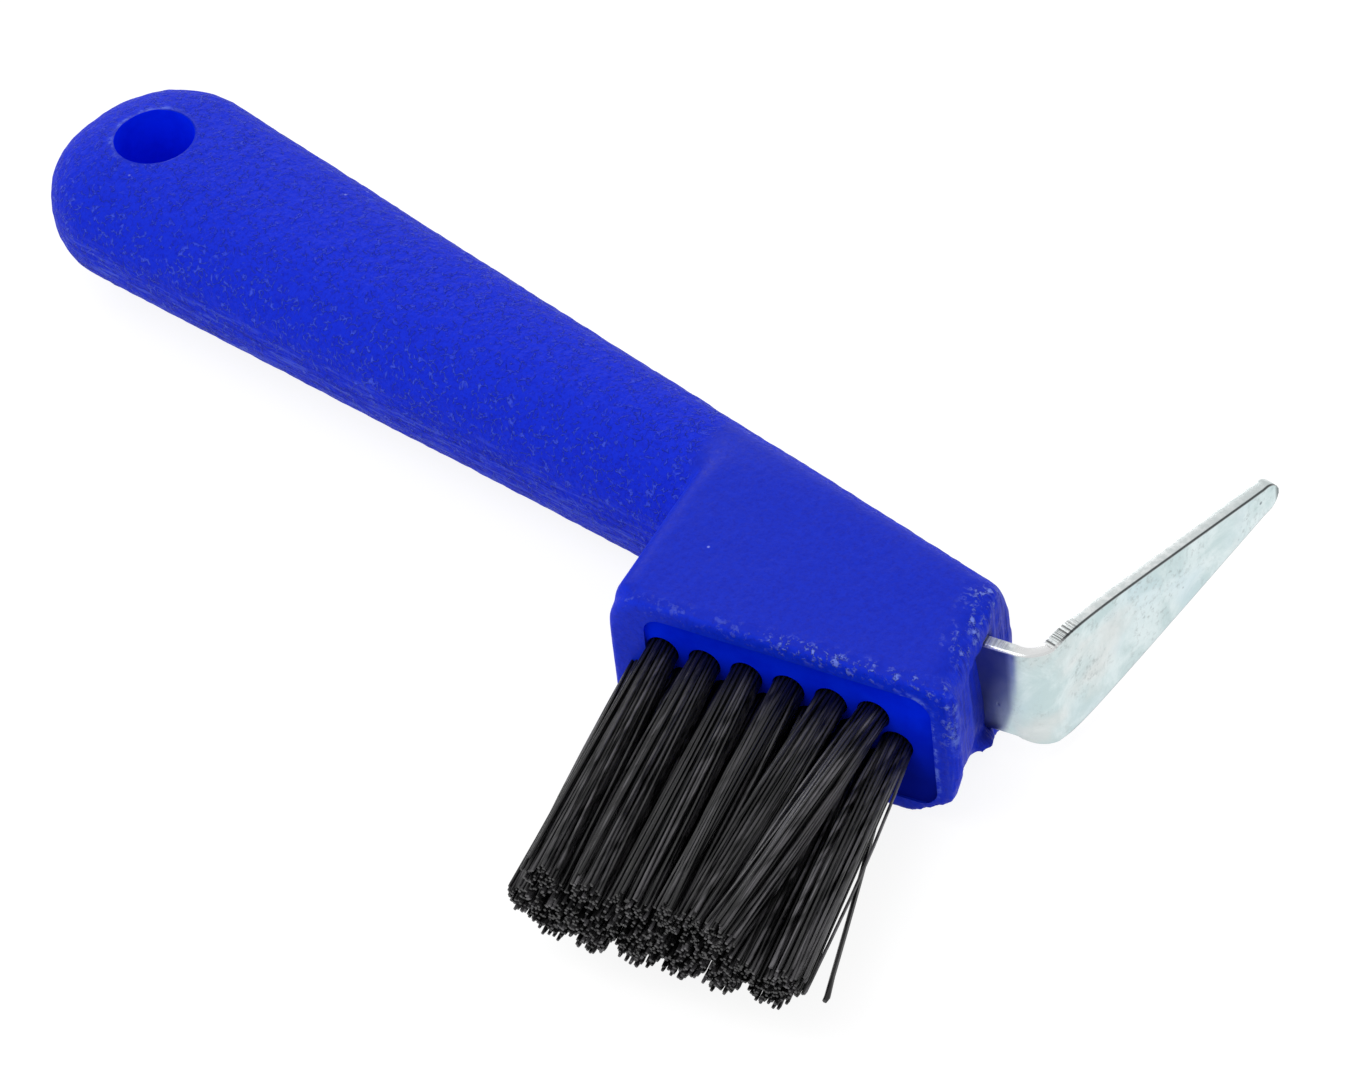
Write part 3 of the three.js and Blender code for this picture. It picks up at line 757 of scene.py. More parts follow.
def worn_and_highlit_edge_share(points):
    """Where an edge is pale: the recess's edge at its end and the brush face's end edge, partly wear
    and partly a painted highlight, and the hang hole's edge towards the tail. The recess's edge is a
    rounded rectangle."""
    x, y, z = points.T
    radius = RECESS_END_CORNER
    past_x = x - (HEAD_LENGTH - RECESS_END_RIM - radius)
    past_z = np.abs(z - MIDDLE) - (MIDDLE - RECESS_RIM - radius)
    from_edge = np.hypot(np.maximum(past_x, 0), np.maximum(past_z, 0)) - radius
    inner = hill(from_edge, 0.22, 0.3) * (past_x > -1.5) * (y < 0.5) * smooth_step(3.5, 6, z)
    outer = hill(x, HEAD_LENGTH - 0.35, 0.4) * (1 - smooth_step(0.8, 1.6, y))
    outer = outer * smooth_step(12, 16, z)
    along = to_handle(points)
    hole = hill(past_hang_hole(points), 0.45, 0.35) * smooth_step(0, 3.5, -along[:, 0])
    return np.clip(inner + outer + 0.7 * hole * (along[:, 2] > 0), 0, 1)


# The blade

TANG_RINGS = 4
FREE_RINGS = 12
BEND_RINGS = 34
TAPER_RINGS = 90
TIP_RINGS = 14
BROAD_POINTS = 13
BEND_SLANT = 0.17
EDGE_WOBBLE = 0.03
WOBBLE_SIZE = 4.5
WOBBLE_SEED = 21
BLADE_SHARP_EDGE = math.radians(32)


def blade_path(distance):
    """The strip's middle line: straight, round the bend, and straight on. Gives x, y and how
    far it has turned."""
    turned = np.clip((distance - BEND_START) / BEND_MIDDLE, 0, BEND_ANGLE)
    past = np.maximum(distance - BEND_START - BEND_LENGTH, 0)
    x = TANG_START + np.minimum(distance, BEND_START)
    x = x + BEND_MIDDLE * np.sin(turned) + past * np.cos(turned)
    y = BLADE_FROM_FACE + BEND_MIDDLE * (1 - np.cos(turned)) + past * np.sin(turned)
    return x, y, turned


def blade_width(distance):
    """The middle and half width across the strip: each side flares from the bend on, meets the
    even taper softly, and ends in a half round."""
    past_bend = distance - BEND_START - BEND_LENGTH
    share = past_bend / TAPER_LENGTH
    turned = np.clip((distance - BEND_START) / BEND_LENGTH, 0, 1)
    middle = turned * lerp(-ROOT_DROP, TIP_RISE, np.clip(share, 0, 1))
    flare = TANG_WIDTH / 2 + FLARE_SHARE * np.maximum(distance - BEND_START, 0)
    narrowing = lerp(ROOT_WIDTH, TIP_WIDTH, share) / 2
    reach = (flare + narrowing - np.hypot(flare - narrowing, FLARE_ROUNDING)) / 2
    tip = TIP_WIDTH / 2
    past_taper = np.maximum(past_bend - TAPER_LENGTH, 0)
    round_tip = np.sqrt(np.maximum(tip * tip - past_taper ** 2, 0))
    return middle, np.where(share > 1, np.maximum(round_tip, 2 * EDGE_BREAK), reach)


def make_blade():
    """The strip as a section carried along its path. The section is a sheared strip's: a burr
    and a fine groove along one edge of the cut faces, and a rolled edge along the other."""
    bend_end = BEND_START + BEND_LENGTH
    tip = TIP_WIDTH / 2 * np.sin(np.linspace(0, QUARTER, TIP_RINGS)[1:])
    distance = np.concatenate(
        [
            np.linspace(0, TANG_BURIED - 1, TANG_RINGS),
            np.linspace(TANG_BURIED, BEND_START, FREE_RINGS),
            BEND_START + np.linspace(0, BEND_LENGTH, BEND_RINGS)[1:],
            bend_end + np.linspace(0, TAPER_LENGTH, TAPER_RINGS)[1:],
            bend_end + TAPER_LENGTH + tip,
        ]
    )
    half = BLADE_THICKNESS / 2
    middle, reach = blade_width(distance)
    # Each row gives the way through the thickness from the outer face, the way past the side's
    # reach on the tang and on the blade, and whether it lies in the groove or on the burr.
    side = [
        (-half, -0.3, -0.2, 0, 0),
        (-half + 0.03, -0.24, -0.04, 1, 1),
        (-half + 0.26, -0.03, -0.06, 1, 1),
        (-half + 0.34, 0.0, 0.0, 0, 0),
        (0.0, 0.02, 0.02, 0, 0),
        (half - 0.25, 0.0, 0.0, 0, 0),
        (half - 0.08, -0.04, -0.04, 0, 0),
        (half, -0.14, -0.14, 0, 0),
    ]
    across, past_tang, past_blade, in_groove, on_burr = np.array(side).T
    beyond = smooth_step(bend_end - 0.5, bend_end + 2.5, distance)[:, None]
    past = lerp(past_tang, past_blade, beyond) * np.minimum(reach / 0.8, 1)[:, None]
    upper = middle[:, None] + reach[:, None] + past
    lower = middle[:, None] - reach[:, None] - past
    broad = np.linspace(1, -1, BROAD_POINTS)[1:-1]
    z = np.concatenate(
        [
            upper,
            lerp(lower[:, -1:], upper[:, -1:], (broad[None, :] + 1) / 2),
            lower[:, ::-1],
            lerp(lower[:, :1], upper[:, :1], (1 - broad[None, :]) / 2),
        ],
        1,
    )
    faces_across = np.full(len(broad), half)
    off = np.concatenate([across, faces_across, across[::-1], -faces_across])
    bare = np.zeros(len(broad))
    groove = beyond * np.concatenate([in_groove, bare, in_groove[::-1], bare])
    burr = (1 - beyond) * np.concatenate([on_burr, bare, on_burr[::-1], bare])
    x, y, turned = (value[:, None] for value in blade_path(distance))
    rings = np.stack([x - off * np.sin(turned), y + off * np.cos(turned), MIDDLE + z], -1)
    wobble = lattice_noise(rings.reshape(-1, 3), WOBBLE_SIZE, WOBBLE_SEED)
    wobble = wobble.reshape(rings.shape[:2])
    rings[:, :, 2] += EDGE_WOBBLE * wobble * np.sign(z)
    # The bend has pressed the strip's cut faces into a slight slant, which faces the back.
    pressed_and_highlit = hill(distance - BEND_START, 0.4 * BEND_LENGTH, 2.6)[:, None]
    rings[:, :, 2] -= BEND_SLANT * pressed_and_highlit * off * np.sign(z)
    points, faces = closed_skin(rings)
    blade = mesh_object("pick_blade_steel", points, faces)
    count = len(distance)
    cut = np.tile(np.abs(off) < half - 0.01, (count, 1))
    store(blade.data, "along", np.concatenate([np.repeat(distance, len(off)), distance[[0, -1]]]))
    # By the moulding the tang's outer face gets a painted dark blue reflection and shade, less far
    # out at its lower edge.
    low = np.clip((z + TANG_WIDTH / 2) / 5, 0, 1)
    from_head = distance[:, None] - TANG_BURIED
    painted_tang_reflection = (1 - smooth_step(0, 1, from_head - lerp(1.2, 2.6, low))) * (off < 0) * ~cut
    for name, values in (("cut_face", cut), ("groove", groove), ("burr", burr), ("painted_tang_reflection", painted_tang_reflection)):
        store(blade.data, name, np.concatenate([values.ravel(), [0, 0]]))
    combine(blade, "tang_hole_cutter", tang_rods(TANG_HOLE_DIAMETER / 2), "DIFFERENCE")
    shade(blade.data, BLADE_SHARP_EDGE)
    return blade


# The brush

FILAMENTS = 72
FILAMENT_DIAMETER = 0.42
FILAMENT_SIDES = 6
FILAMENT_STEPS = 6
FILAMENT_SHARP_EDGE = math.radians(60)
FILAMENT_BOTTOM = 7.5
ROOT_Y = 0.9
TIP_NUB = 1.2
TIP_CRUSH = 0.8
GOLDEN_TURN = math.pi * (3 - math.sqrt(5))

# How unlike each other the filaments and the tufts are
FILAMENT_UNEVENNESS = 0.6
TUFT_UNEVENNESS = 0.9
TIP_SPREAD = 1.22
TIP_SPREAD_VARIATION = 0.06
ROW_SPREADS = (1.0, 1.1, 1.28)
SWELL = 0.08
STRAYING = (0.34, 0.22)
BOWING = (0.22, 0, 0.18)
TONE_SHAPE = (0.9, 2.6)
TUFT_TONES = (0.55, 1.25)

# The filament that stands off from the last tuft
LOOSE_DIAMETER = 0.66
LOOSE_ROOT = (37.4, ROOT_Y, 9.6)
LOOSE_TIP = (46.7, -36.8, 9.0)
LOOSE_BOW = (0.15, 0, 0)
LOOSE_TONE = 0.04
LOOSE_STEPS = 12


def bristle_lean(x, side):
    """How far a filament leans towards the end face for each millimetre of its length. The
    upper row's last tufts lean back towards the heel."""
    base = lerp(HEEL_BRISTLE_LEAN, END_BRISTLE_LEAN, x / HEAD_LENGTH)
    turned = np.maximum(x - TURN_START, 0) / (HEAD_LENGTH - TURN_START)
    return np.tan(np.radians(base - (side > 0) * UPPER_ROW_TURN * turned))


def filaments(roots, tips, bend, radius, steps):
    """Thin tubes, all at once. Each runs straight up its hole to its root, then on to its tip
    on a shallow arc, whose rise is the bend times the sine of half a turn, and ends in a
    slightly crushed cut."""
    share = np.concatenate([[0.0], np.linspace(0, 1, steps), [1.0]])
    path = roots[:, None] + share[None, :, None] * (tips - roots)[:, None]
    path = path + bend[:, None] * np.sin(share * math.pi)[None, :, None]
    path[:, 0, 1] = FILAMENT_BOTTOM
    turn = np.linspace(0, 4 * QUARTER, FILAMENT_SIDES, endpoint=False)
    width = np.full(len(share), radius)
    width[-2] *= TIP_NUB
    width[-1] *= TIP_NUB * TIP_CRUSH
    path[:, -1, 1] -= radius
    path[:, -2, 1] += radius
    ring = np.stack([np.cos(turn), np.zeros_like(turn), -np.sin(turn)], -1)
    points = path[:, :, None] + width[None, :, None, None] * ring[None, None]
    count, rings, sides, _ = points.shape
    body = np.arange(count)[:, None, None] * rings * sides
    low = body + np.arange(rings - 1)[None, :, None] * sides
    k = np.arange(sides)[None, None]
    after = (k + 1) % sides
    walls = np.stack([low + k, low + sides + k, low + sides + after, low + after], -1)
    caps = np.concatenate(
        [body[:, 0] + np.arange(sides)[::-1], body[:, 0] + (rings - 1) * sides + np.arange(sides)]
    )
    return points.reshape(-1, 3), walls.reshape(-1, 4)[:, ::-1].tolist() + caps[:, ::-1].tolist()


def make_tuft(x, z, side, chance):
    """Roots, tips, bends and tones of a tuft's filaments. They stand on a sunflower spiral in
    their hole, lean with their row, spread towards their tips, and each strays a little. Most
    are dark and a few are grey."""
    k = np.arange(FILAMENTS)
    reach = (TUFT_HOLE_DIAMETER - FILAMENT_DIAMETER) / 2 * np.sqrt((k + 0.5) / FILAMENTS)
    turn = k * GOLDEN_TURN + chance.uniform(0, math.pi)
    dx = reach * np.cos(turn)
    dz = reach * np.sin(turn)
    shorter = np.abs(chance.normal(0, FILAMENT_UNEVENNESS, FILAMENTS))
    drop = BRISTLE_LENGTH - shorter - TUFT_UNEVENNESS * chance.uniform()
    length = drop + ROOT_Y
    rise = math.tan(math.radians((LOWER_ROW_RISE, 0, UPPER_ROW_RISE)[side + 1]))
    spread = chance.normal(TIP_SPREAD, TIP_SPREAD_VARIATION)
    tip_x = x + dx * spread + length * bristle_lean(x + dx, side)
    tip_z = z + dz * ROW_SPREADS[side + 1] + length * rise
    straying = chance.normal(0, 1, (FILAMENTS, 2)) * STRAYING
    roots = np.stack([x + dx, np.full(FILAMENTS, ROOT_Y), z + dz], -1)
    tips = np.stack([tip_x + straying[:, 0], -drop, tip_z + straying[:, 1]], -1)
    swell = np.stack([dx * SWELL, np.zeros(FILAMENTS), dz * SWELL], -1)
    bends = swell + chance.normal(0, 1, (FILAMENTS, 3)) * BOWING
    tones = chance.beta(*TONE_SHAPE, FILAMENTS) * chance.uniform(*TUFT_TONES)
    return roots, tips, bends, tones


def tube_object(name, roots, tips, bends, tones, radius, steps):
    """An object of filaments, with each one's tone and how far along it a point lies."""
    points, faces = filaments(roots, tips, bends, radius, steps)
    made = mesh_object(name, points, faces)
    shade(made.data, FILAMENT_SHARP_EDGE)
    store(made.data, "tone", np.repeat(tones, len(points) // len(tones)))
    store(made.data, "to_tip", np.clip(-points[:, 1] / BRISTLE_LENGTH, 0, 1))
    return made


def make_row(name, side, seed):
    chance = np.random.default_rng(seed)
    tufts = [make_tuft(x, z, side, chance) for x, z in row_places(side)]
    values = [np.concatenate(value) for value in zip(*tufts)]
    return tube_object(name, *values, FILAMENT_DIAMETER / 2, FILAMENT_STEPS)


def make_loose_filament():
    """The one filament that stands off from the last tuft."""
    root, tip, bow = np.array([[LOOSE_ROOT], [LOOSE_TIP], [LOOSE_BOW]])
    tone = np.array([LOOSE_TONE])
    return tube_object("loose_filament", root, tip, bow, tone, LOOSE_DIAMETER / 2, LOOSE_STEPS)


# Materials

# The places of a colour mix's sockets
MIX_SHARE = 0
MIX_FIRST = 6
MIX_SECOND = 7
MIX_RESULT = 2

SHADER_INPUTS = {
    "colour": "Base Color",
    "normal": "Normal",
    "roughness": "Roughness",
    "metallic": "Metallic",
    "specular": "Specular IOR Level",
}


def linear(red, green, blue):
    """A colour given in screen values from 0 to 255, as the shader's linear values."""
    screen = np.array([red, green, blue]) / 255
    low = screen / 12.92
    high = ((screen + 0.055) / 1.055) ** 2.4
    return (*np.where(screen <= 0.04045, low, high).tolist(), 1.0)


class Maker:
    """Short ways to lay out a material's nodes. A value is a number, a colour or a socket."""

    def __init__(self, name):
        self.material = bpy.data.materials.new(name)
        self.material.use_nodes = True
        self.tree = self.material.node_tree
        self.shader = self.tree.nodes["Principled BSDF"]
        self.place = self.add("ShaderNodeTexCoord").outputs["Object"]

    def give(self, node, values):
        """Sets a node's inputs, or links them where a value is another node's socket."""
        for name, value in values.items():
            if isinstance(value, bpy.types.NodeSocket):
                self.tree.links.new(value, node.inputs[name])
            else:
                node.inputs[name].default_value = value

    def add(self, kind, values=None, **settings):
        node = self.tree.nodes.new(kind)
        for name, setting in settings.items():
            setattr(node, name, setting)
        self.give(node, values or {})
        return node

    def finish(self, **looks):
        """Gives the shader its looks, named as its inputs are, and returns the material."""
        self.give(self.shader, {SHADER_INPUTS[name]: value for name, value in looks.items()})
        return self.material

    def math(self, operation, first, second=0.0):
        return self.add("ShaderNodeMath", {0: first, 1: second}, operation=operation).outputs[0]

    def chain(self, operation, values):
        """Works on the first two values, then on what that gives and the third, and so on."""
        result = values[0]
        for value in values[1:]:
            result = self.math(operation, result, value)
        return result

    def plus(self, *values):
        return self.chain("ADD", values)

    def minus(self, *values):
        return self.chain("SUBTRACT", values)

    def times(self, *values):
        return self.chain("MULTIPLY", values)

    def largest(self, *values):
        return self.chain("MAXIMUM", values)

    def rest(self, value):
        """What a share leaves of one."""
        return self.minus(1.0, value)

    def stretched(self, scale, turn=0.0):
        """Object coordinates turned about z and stretched."""
        values = {"Rotation": (0, 0, turn), "Scale": scale, "Vector": self.place}
        return self.add("ShaderNodeMapping", values).outputs[0]

    def turned(self, scale):
        """Object coordinates turned into the head's frame and stretched."""
        return self.stretched(scale, -HEAD_ANGLE)

    def noise(self, scale, detail=2.0, roughness=0.5, distortion=0.0, vector=None):
        values = {
            "Scale": scale,
            "Detail": detail,
            "Roughness": roughness,
            "Distortion": distortion,
            "Vector": vector or self.place,
        }
        return self.add("ShaderNodeTexNoise", values).outputs["Fac"]

    def cells(self, scale):
        """How far a point is from the nearest of some scattered points."""
        values = {"Scale": scale, "Vector": self.place}
        return self.add("ShaderNodeTexVoronoi", values, feature="F1").outputs["Distance"]

    def ramp(self, value, low, high):
        """Runs from 0 at low to 1 at high."""
        values = {"Value": value, "From Min": low, "From Max": high}
        return self.add("ShaderNodeMapRange", values, interpolation_type="SMOOTHSTEP").outputs[0]

    def attribute(self, name):
        return self.add("ShaderNodeAttribute", attribute_name=name).outputs["Fac"]

    def mix(self, share, first, second):
        """Blends two colours."""
        values = {MIX_SHARE: share, MIX_FIRST: first, MIX_SECOND: second}
        return self.add("ShaderNodeMix", values, data_type="RGBA").outputs[MIX_RESULT]

    def lay(self, colour, share, strength, *screen):
        """Lays a colour, given in screen values, over another where a share is high."""
        return self.mix(self.times(share, strength), colour, linear(*screen))

    def bump(self, height, strength, distance):
        values = {"Height": height, "Strength": strength, "Distance": distance}
        return self.add("ShaderNodeBump", values).outputs[0]


def plastic_material():
    """Blue moulded plastic: leather grain on the grip, a smoother and faintly mottled head, pale
    blotches where the moulding is scuffed and pale edges that are partly wear and partly a painted
    highlight. Heights are in tenths of a millimetre."""
    m = Maker("moulded_blue_plastic")
    grain = m.attribute("grain")
    # drawn marks where painted sheen streaks lie along the grip's underside and back
    drawn = m.attribute("drawn")
    end = m.attribute("end_face")

    # Leather grain: the level lines of a noise, broken up by another, are short crooked ridges.
    level = m.math("ABSOLUTE", m.minus(m.noise(1050, 1.0, 0.4, 0.4), 0.5))
    broken = m.ramp(m.noise(900, 1.0), 0.44, 0.56)
    ridge = m.times(m.rest(m.ramp(level, 0.0, 0.065)), broken)
    swell = m.minus(m.noise(1300, 2.0, 0.55), 0.5)
    streak_bump_and_sheen = m.noise(1.0, 3, 0.65, vector=m.stretched((130, 1900, 1900)))
    grain_height = m.plus(m.times(ridge, 1.6), m.times(swell, 2.6), m.times(streak_bump_and_sheen, drawn, 3.0))

    # The smooth head: slight orange peel. The end face: streaks drawn along z. Worn places:
    # blotches in patches.
    peel = m.noise(1000, 3, 0.6)
    streak = m.noise(1.0, 3, 0.6, vector=m.turned((500, 1500, 90)))
    blotches = m.ramp(m.noise(1150, 3, 0.65, 0.3), 0.5, 0.62)
    patches = m.ramp(m.noise(420, 3, 0.7), 0.42, 0.56)
    scuff = m.times(blotches, patches, m.attribute("wear"))
    height = m.plus(m.times(grain_height, grain), m.times(m.minus(peel, 0.5), 0.8))
    height = m.plus(height, m.times(streak, end, 3.0), m.times(scuff, 2.0))

    # Colour: fine mottling, painted light and shade on the head's faces by the way they face, dark
    # flecks, a painted highlight on the grain's ridges, and painted pale and dark sheen streaks in
    # the grain along the grip's underside and back
    mottle = m.ramp(m.noise(900, 3, 0.6), 0.3, 0.7)
    grip_colour = m.mix(mottle, linear(4, 42, 220), linear(3, 36, 210))
    # Painted light and shade: the head's faces that look sideways get a lighter blue, its upward and
    # downward faces a darker one
    side_colour_lit_brighter = m.mix(mottle, linear(4, 46, 222), linear(3, 40, 212))
    flat_colour_shaded_darker = m.mix(mottle, linear(2, 39, 200), linear(2, 34, 189))
    head_colour = m.mix(m.attribute("painted_facing_shade"), side_colour_lit_brighter, flat_colour_shaded_darker)
    colour = m.mix(grain, head_colour, grip_colour)
    flecks = m.ramp(m.noise(2300, 2.0, 0.6), 0.5, 0.68)
    fleck_share = m.plus(m.times(grain, 0.12), 0.3)
    colour = m.mix(m.times(flecks, fleck_share), colour, linear(2, 16, 158))
    # Painted highlight: the grain's ridges paler, less so on the top faces
    painted_ridge_highlight = m.times(ridge, grain, m.attribute("painted_ridge_highlight"))
    colour = m.lay(colour, painted_ridge_highlight, 0.55, 74, 102, 244)
    # Painted sheen: pale and dark streaks in the grain along the grip's underside and back
    colour = m.lay(colour, m.times(m.ramp(streak_bump_and_sheen, 0.5, 0.66), drawn), 0.5, 88, 110, 230)
    dark_sheen_dash = m.rest(m.ramp(streak_bump_and_sheen, 0.34, 0.47))
    colour = m.lay(colour, m.times(dark_sheen_dash, drawn), 0.55, 4, 18, 130)

    # The end face: painted shade in front of the tang, and drawn in pale and dark streaks
    low_streaks = m.rest(m.ramp(streak, 0.36, 0.5))
    colour = m.lay(colour, m.times(low_streaks, end), 0.5, 2, 18, 150)
    colour = m.lay(colour, m.times(m.ramp(streak, 0.52, 0.72), end), 0.38, 70, 90, 214)
    # Painted shade: the end face darkened in front of the tang
    colour = m.lay(colour, m.attribute("end_painted_shade"), 0.9, 1, 12, 104)

    # Pale scuffs, pale edges that are partly wear and partly a painted highlight, and a few bright
    # specks
    colour = m.lay(colour, scuff, 0.8, 126, 148, 246)
    # Partly wear and partly a painted highlight along the edges
    worn_and_highlit = m.times(m.attribute("worn_and_highlit_edge"), m.ramp(m.noise(560, 4, 0.7), 0.45, 0.64))
    colour = m.lay(colour, worn_and_highlit, 0.85, 112, 138, 244)
    specks = m.rest(m.ramp(m.cells(210), 0.02, 0.055))
    specks = m.times(specks, m.ramp(m.noise(60, 1), 0.54, 0.6))
    colour = m.lay(colour, specks, 0.8, 140, 152, 240)
    rough = m.plus(m.times(peel, 0.2), 0.44, m.times(grain, 0.1))
    rough = m.minus(rough, m.times(ridge, 0.1))
    normal = m.bump(height, 1.0, 0.0001)
    return m.finish(colour=colour, normal=normal, roughness=rough, specular=0.145)


def lining_material():
    """The same plastic inside the holes and the recess: smooth, deep and without gloss, with its
    colour brightened as painted light against the shade in the holes, and with painted shade low down
    and between the tufts."""
    m = Maker("blue_lining_painted_light_and_shade")
    mottle = m.ramp(m.noise(260, 3, 0.6), 0.35, 0.7)
    # A brighter blue than outside: painted light against the shade in the holes
    colour = m.mix(mottle, linear(4, 44, 255), linear(3, 36, 244))
    # Painted shade low down and between the tufts
    colour = m.lay(colour, m.attribute("painted_low_shade"), 0.9, 12, 26, 150)
    normal = m.bump(m.noise(700, 2), 0.4, 0.00005)
    return m.finish(colour=colour, normal=normal, roughness=0.8, specular=0.0)


def steel_material():
    """Zinc plated steel: pale mottled broad faces with small pits and patches of grime and a painted
    dark blue reflection and shade on the tang, sheared cut faces with fine cross lines and a painted
    highlight at the bend, and painted shade in a groove and a painted highlight on a burr along their
    edge."""
    m = Maker("zinc_plated_steel")
    along = m.attribute("along")
    cut = m.attribute("cut_face")
    burr = m.attribute("burr")
    bend_end = BEND_START + BEND_LENGTH
    tip_end = bend_end + BLADE_LENGTH

    # The broad faces: clouds and tints, patches of grime, pits, and a painted dark blue reflection
    # and shade on the tang by the moulding
    clouds = m.noise(170, 5, 0.66, 0.5)
    colour = m.mix(m.ramp(clouds, 0.34, 0.66), linear(198, 217, 218), linear(228, 240, 241))
    colour = m.lay(colour, m.ramp(m.noise(80, 3, 0.5), 0.5, 0.75), 0.55, 206, 228, 238)
    warm = m.ramp(m.noise(95, 3, 0.5, vector=m.turned((1.3, 0.8, 1))), 0.54, 0.72)
    colour = m.lay(colour, warm, 0.4, 228, 222, 218)
    fine = m.noise(1000, 5, 0.75)
    grime = m.times(m.ramp(fine, 0.5, 0.68), m.ramp(m.noise(120, 2), 0.42, 0.62))
    colour = m.lay(colour, grime, 0.55, 152, 162, 162)
    pits = m.rest(m.ramp(m.cells(560), 0.08, 0.17))
    pits = m.times(pits, m.ramp(m.noise(100, 2), 0.54, 0.62))
    colour = m.lay(colour, pits, 0.7, 82, 94, 100)
    # Painted reflection and shade: the tang's outer face dark blue by the moulding
    colour = m.lay(colour, m.attribute("painted_tang_reflection"), 0.75, 92, 100, 150)

    # Cross lines on the cut faces: faint on the tang, deep and wide where the bend ends
    values = {"Scale": 3.2, "Detail": 2.0, "W": along}
    lines = m.add("ShaderNodeTexNoise", values, noise_dimensions="1D")
    torn_end = m.rest(m.ramp(along, bend_end + 3.4, bend_end + 6))
    torn = m.times(m.ramp(along, bend_end - 0.3, bend_end + 0.5), cut, torn_end)
    on_tang = m.times(m.rest(m.ramp(along, TANG_BURIED + 2, TANG_BURIED + 4)), 0.3)
    depth = m.plus(torn, m.times(on_tang, cut))
    depth = m.times(depth, m.ramp(lines.outputs["Fac"], 0.42, 0.6))

    # The cut faces: darker towards the tip, with a painted highlight at the bend
    cut_colour = m.mix(m.ramp(fine, 0.42, 0.62), linear(224, 231, 231), linear(246, 250, 250))
    to_tip = m.ramp(along, bend_end + 20, bend_end + 40)
    cut_colour = m.lay(cut_colour, to_tip, 0.6, 212, 222, 222)
    bend_highlight_end = m.rest(m.ramp(along, bend_end, bend_end + 1))
    # Painted highlight on the cut faces at the bend
    pressed_and_highlit = m.times(m.ramp(along, BEND_START - 0.6, BEND_START + 0.6), cut, bend_highlight_end)
    cut_colour = m.mix(pressed_and_highlit, cut_colour, linear(253, 254, 254))
    colour = m.mix(cut, colour, cut_colour)
    colour = m.lay(colour, depth, 0.85, 84, 86, 86)
    # Painted shade in the groove along the cut faces' edge
    colour = m.lay(colour, m.attribute("groove"), 0.95, 56, 60, 62)
    colour = m.lay(colour, m.ramp(along, tip_end - 0.8, tip_end - 0.2), 0.8, 96, 102, 104)
    # Painted highlight on the burr along the cut faces' edge
    colour = m.mix(burr, colour, linear(246, 248, 248))

    height = m.minus(m.times(m.noise(420, 4, 0.6), 0.5), pits, m.times(depth, 1.5))
    normal = m.bump(height, 0.35, 0.00012)
    rough = m.plus(m.times(clouds, 0.2), 0.28)
    rough = m.minus(rough, m.times(m.largest(burr, pressed_and_highlit), 0.1))
    return m.finish(colour=colour, normal=normal, roughness=rough, metallic=1.0)


def filament_material():
    """Black extruded filament with a soft gloss along it, and grey streaks along it that are painted
    sheen, stronger on some filaments than on others. Painted shade keeps all of them dark near the
    root, and they are dusty at the tip."""
    m = Maker("black_filament")
    tone = m.attribute("tone")
    to_tip = m.attribute("to_tip")
    streak = m.noise(1.0, 2, 0.5, vector=m.turned((900, 40, 900)))
    # Painted sheen: grey streaks along the filaments, scaled by each filament's tone, and painted
    # shade near the root
    grey = m.times(tone, m.ramp(streak, 0.3, 0.62), m.ramp(to_tip, 0.01, 0.1))
    colour = m.mix(grey, linear(9, 9, 10), linear(116, 114, 118))
    colour = m.lay(colour, m.times(m.ramp(to_tip, 0.975, 1.0), tone), 0.3, 84, 83, 82)
    rough = m.plus(m.times(streak, 0.2), 0.24)
    return m.finish(colour=colour, roughness=rough, specular=0.5)


def wire_material():
    """Flattened plain wire, lightly drawn."""
    m = Maker("flattened_wire")
    drawn = m.noise(1.0, 3, 0.6, vector=m.turned((200, 3000, 3000)))
    colour = m.mix(m.ramp(drawn, 0.3, 0.7), linear(168, 170, 168), linear(205, 207, 204))
    rough = m.plus(m.times(drawn, 0.2), 0.3)
    normal = m.bump(drawn, 0.3, 0.00003)
    return m.finish(colour=colour, normal=normal, roughness=rough, metallic=1.0)


def finish_piece(piece, material, replaced):
    """Gives a piece its material, hangs it under the root body and hides the CAD nodes that it
    replaces.
    """
    piece.data.materials.clear()
    piece.data.materials.append(material)
    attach(piece, "root")
    if replaced:
        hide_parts(*replaced)


steel = steel_material()
filament = filament_material()
wire = wire_material()

handle = make_handle()
finish_piece(handle, plastic_material(), ["handle"])
handle.data.materials.append(lining_material())
handle.data.polygons.foreach_set("material_index", faces_inside(handle.data).astype(np.int32))
finish_piece(make_blade(), steel, ["pick_blade"])
for seed, row_name in enumerate(("lower", "middle", "upper")):
    row = make_row("filaments_" + row_name, seed - 1, seed)
    finish_piece(row, filament, ["bristle_row_" + row_name])
finish_piece(make_loose_filament(), filament, [])
for name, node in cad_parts.items():
    if name.startswith("tuft_anchor"):
        node.data.materials.clear()
        node.data.materials.append(wire)


# Floor, light and camera

FLOOR_SIZE = 4.0
FLOOR_GLOW = 0.88
FLOOR_WHITE = 0.2
FLOOR_PALE = 0.82
WORLD_LEVEL = 0.7


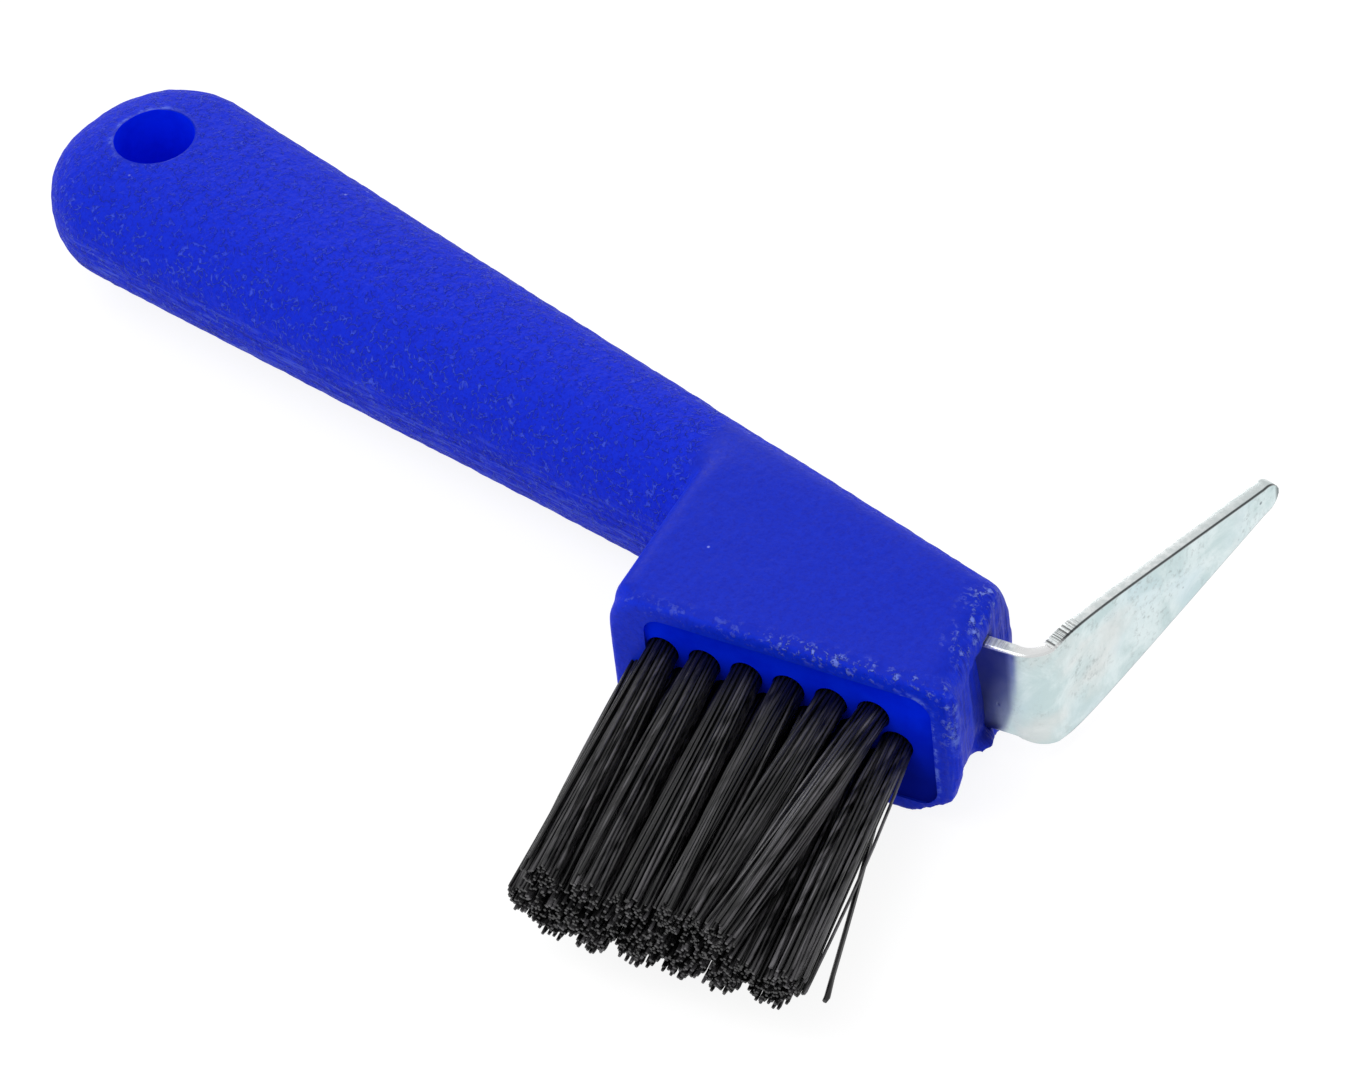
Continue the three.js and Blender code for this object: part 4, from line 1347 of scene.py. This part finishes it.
def floor_material():
    """To the camera and in reflections a glow that is white together with the light on it, so
    that the shadow shows. To all other light a plain pale surface."""
    m = Maker("floor_white")
    seen = m.add("ShaderNodeLightPath").outputs
    rays = [seen[f"Is {kind} Ray"] for kind in ("Camera", "Glossy", "Transmission")]
    shown = m.largest(*rays)
    plain = m.add("ShaderNodeBsdfDiffuse", {"Color": (FLOOR_PALE, FLOOR_PALE, FLOOR_PALE, 1)})
    faint = m.add("ShaderNodeBsdfDiffuse", {"Color": (FLOOR_WHITE, FLOOR_WHITE, FLOOR_WHITE, 1)})
    glow = m.add("ShaderNodeEmission", {"Strength": FLOOR_GLOW})
    both = m.add("ShaderNodeAddShader", {0: faint.outputs[0], 1: glow.outputs[0]})
    choice = m.add("ShaderNodeMixShader", {0: shown, 1: plain.outputs[0], 2: both.outputs[0]})
    m.give(m.tree.nodes["Material Output"], {"Surface": choice.outputs[0]})
    m.tree.nodes.remove(m.shader)
    return m.material


def make_floor():
    half = FLOOR_SIZE / 2
    mesh = bpy.data.meshes.new("floor")
    corners = [(-half, -half, 0), (half, -half, 0), (half, half, 0), (-half, half, 0)]
    mesh.from_pydata(corners, [], [(0, 1, 2, 3)])
    mesh.materials.append(floor_material())
    floor = bpy.data.objects.new("floor", mesh)
    bpy.context.collection.objects.link(floor)


def make_lamp(name, place, size, watts):
    """A square soft light that faces the origin."""
    data = bpy.data.lights.new(name, "AREA")
    data.shape = "SQUARE"
    data.size = size
    data.energy = watts
    lamp = bpy.data.objects.new(name, data)
    bpy.context.collection.objects.link(lamp)
    lamp.location = place
    x, y, z = place
    lamp.rotation_euler = (math.atan2(math.hypot(x, y), z), 0, math.atan2(y, x) + QUARTER)


make_floor()
world = bpy.data.worlds.new("studio")
world.use_nodes = True
backdrop = world.node_tree.nodes["Background"]
backdrop.inputs["Color"].default_value = (1, 1, 1, 1)
backdrop.inputs["Strength"].default_value = WORLD_LEVEL
bpy.context.scene.world = world
make_lamp("key", (-0.3, -0.6, 1.65), 1.2, 9)
make_lamp("back", (-1.21, 0.88, 0.56), 0.4, 3.2)

CAMERA_PLACE = (0.387893, -0.378468, 0.569615)
CAMERA_ANGLES = (45.0467, 5.1685, 42.2491)
CAMERA_LENS = 172.61
CAMERA_SENSOR = 36.0
camera_data = bpy.data.cameras.new("camera")
camera_data.lens = CAMERA_LENS
camera_data.sensor_width = CAMERA_SENSOR
camera = bpy.data.objects.new("camera", camera_data)
camera.location = CAMERA_PLACE
camera.rotation_euler = Euler([math.radians(angle) for angle in CAMERA_ANGLES])
bpy.context.collection.objects.link(camera)
bpy.context.scene.camera = camera
bpy.context.scene.view_settings.view_transform = "Standard"
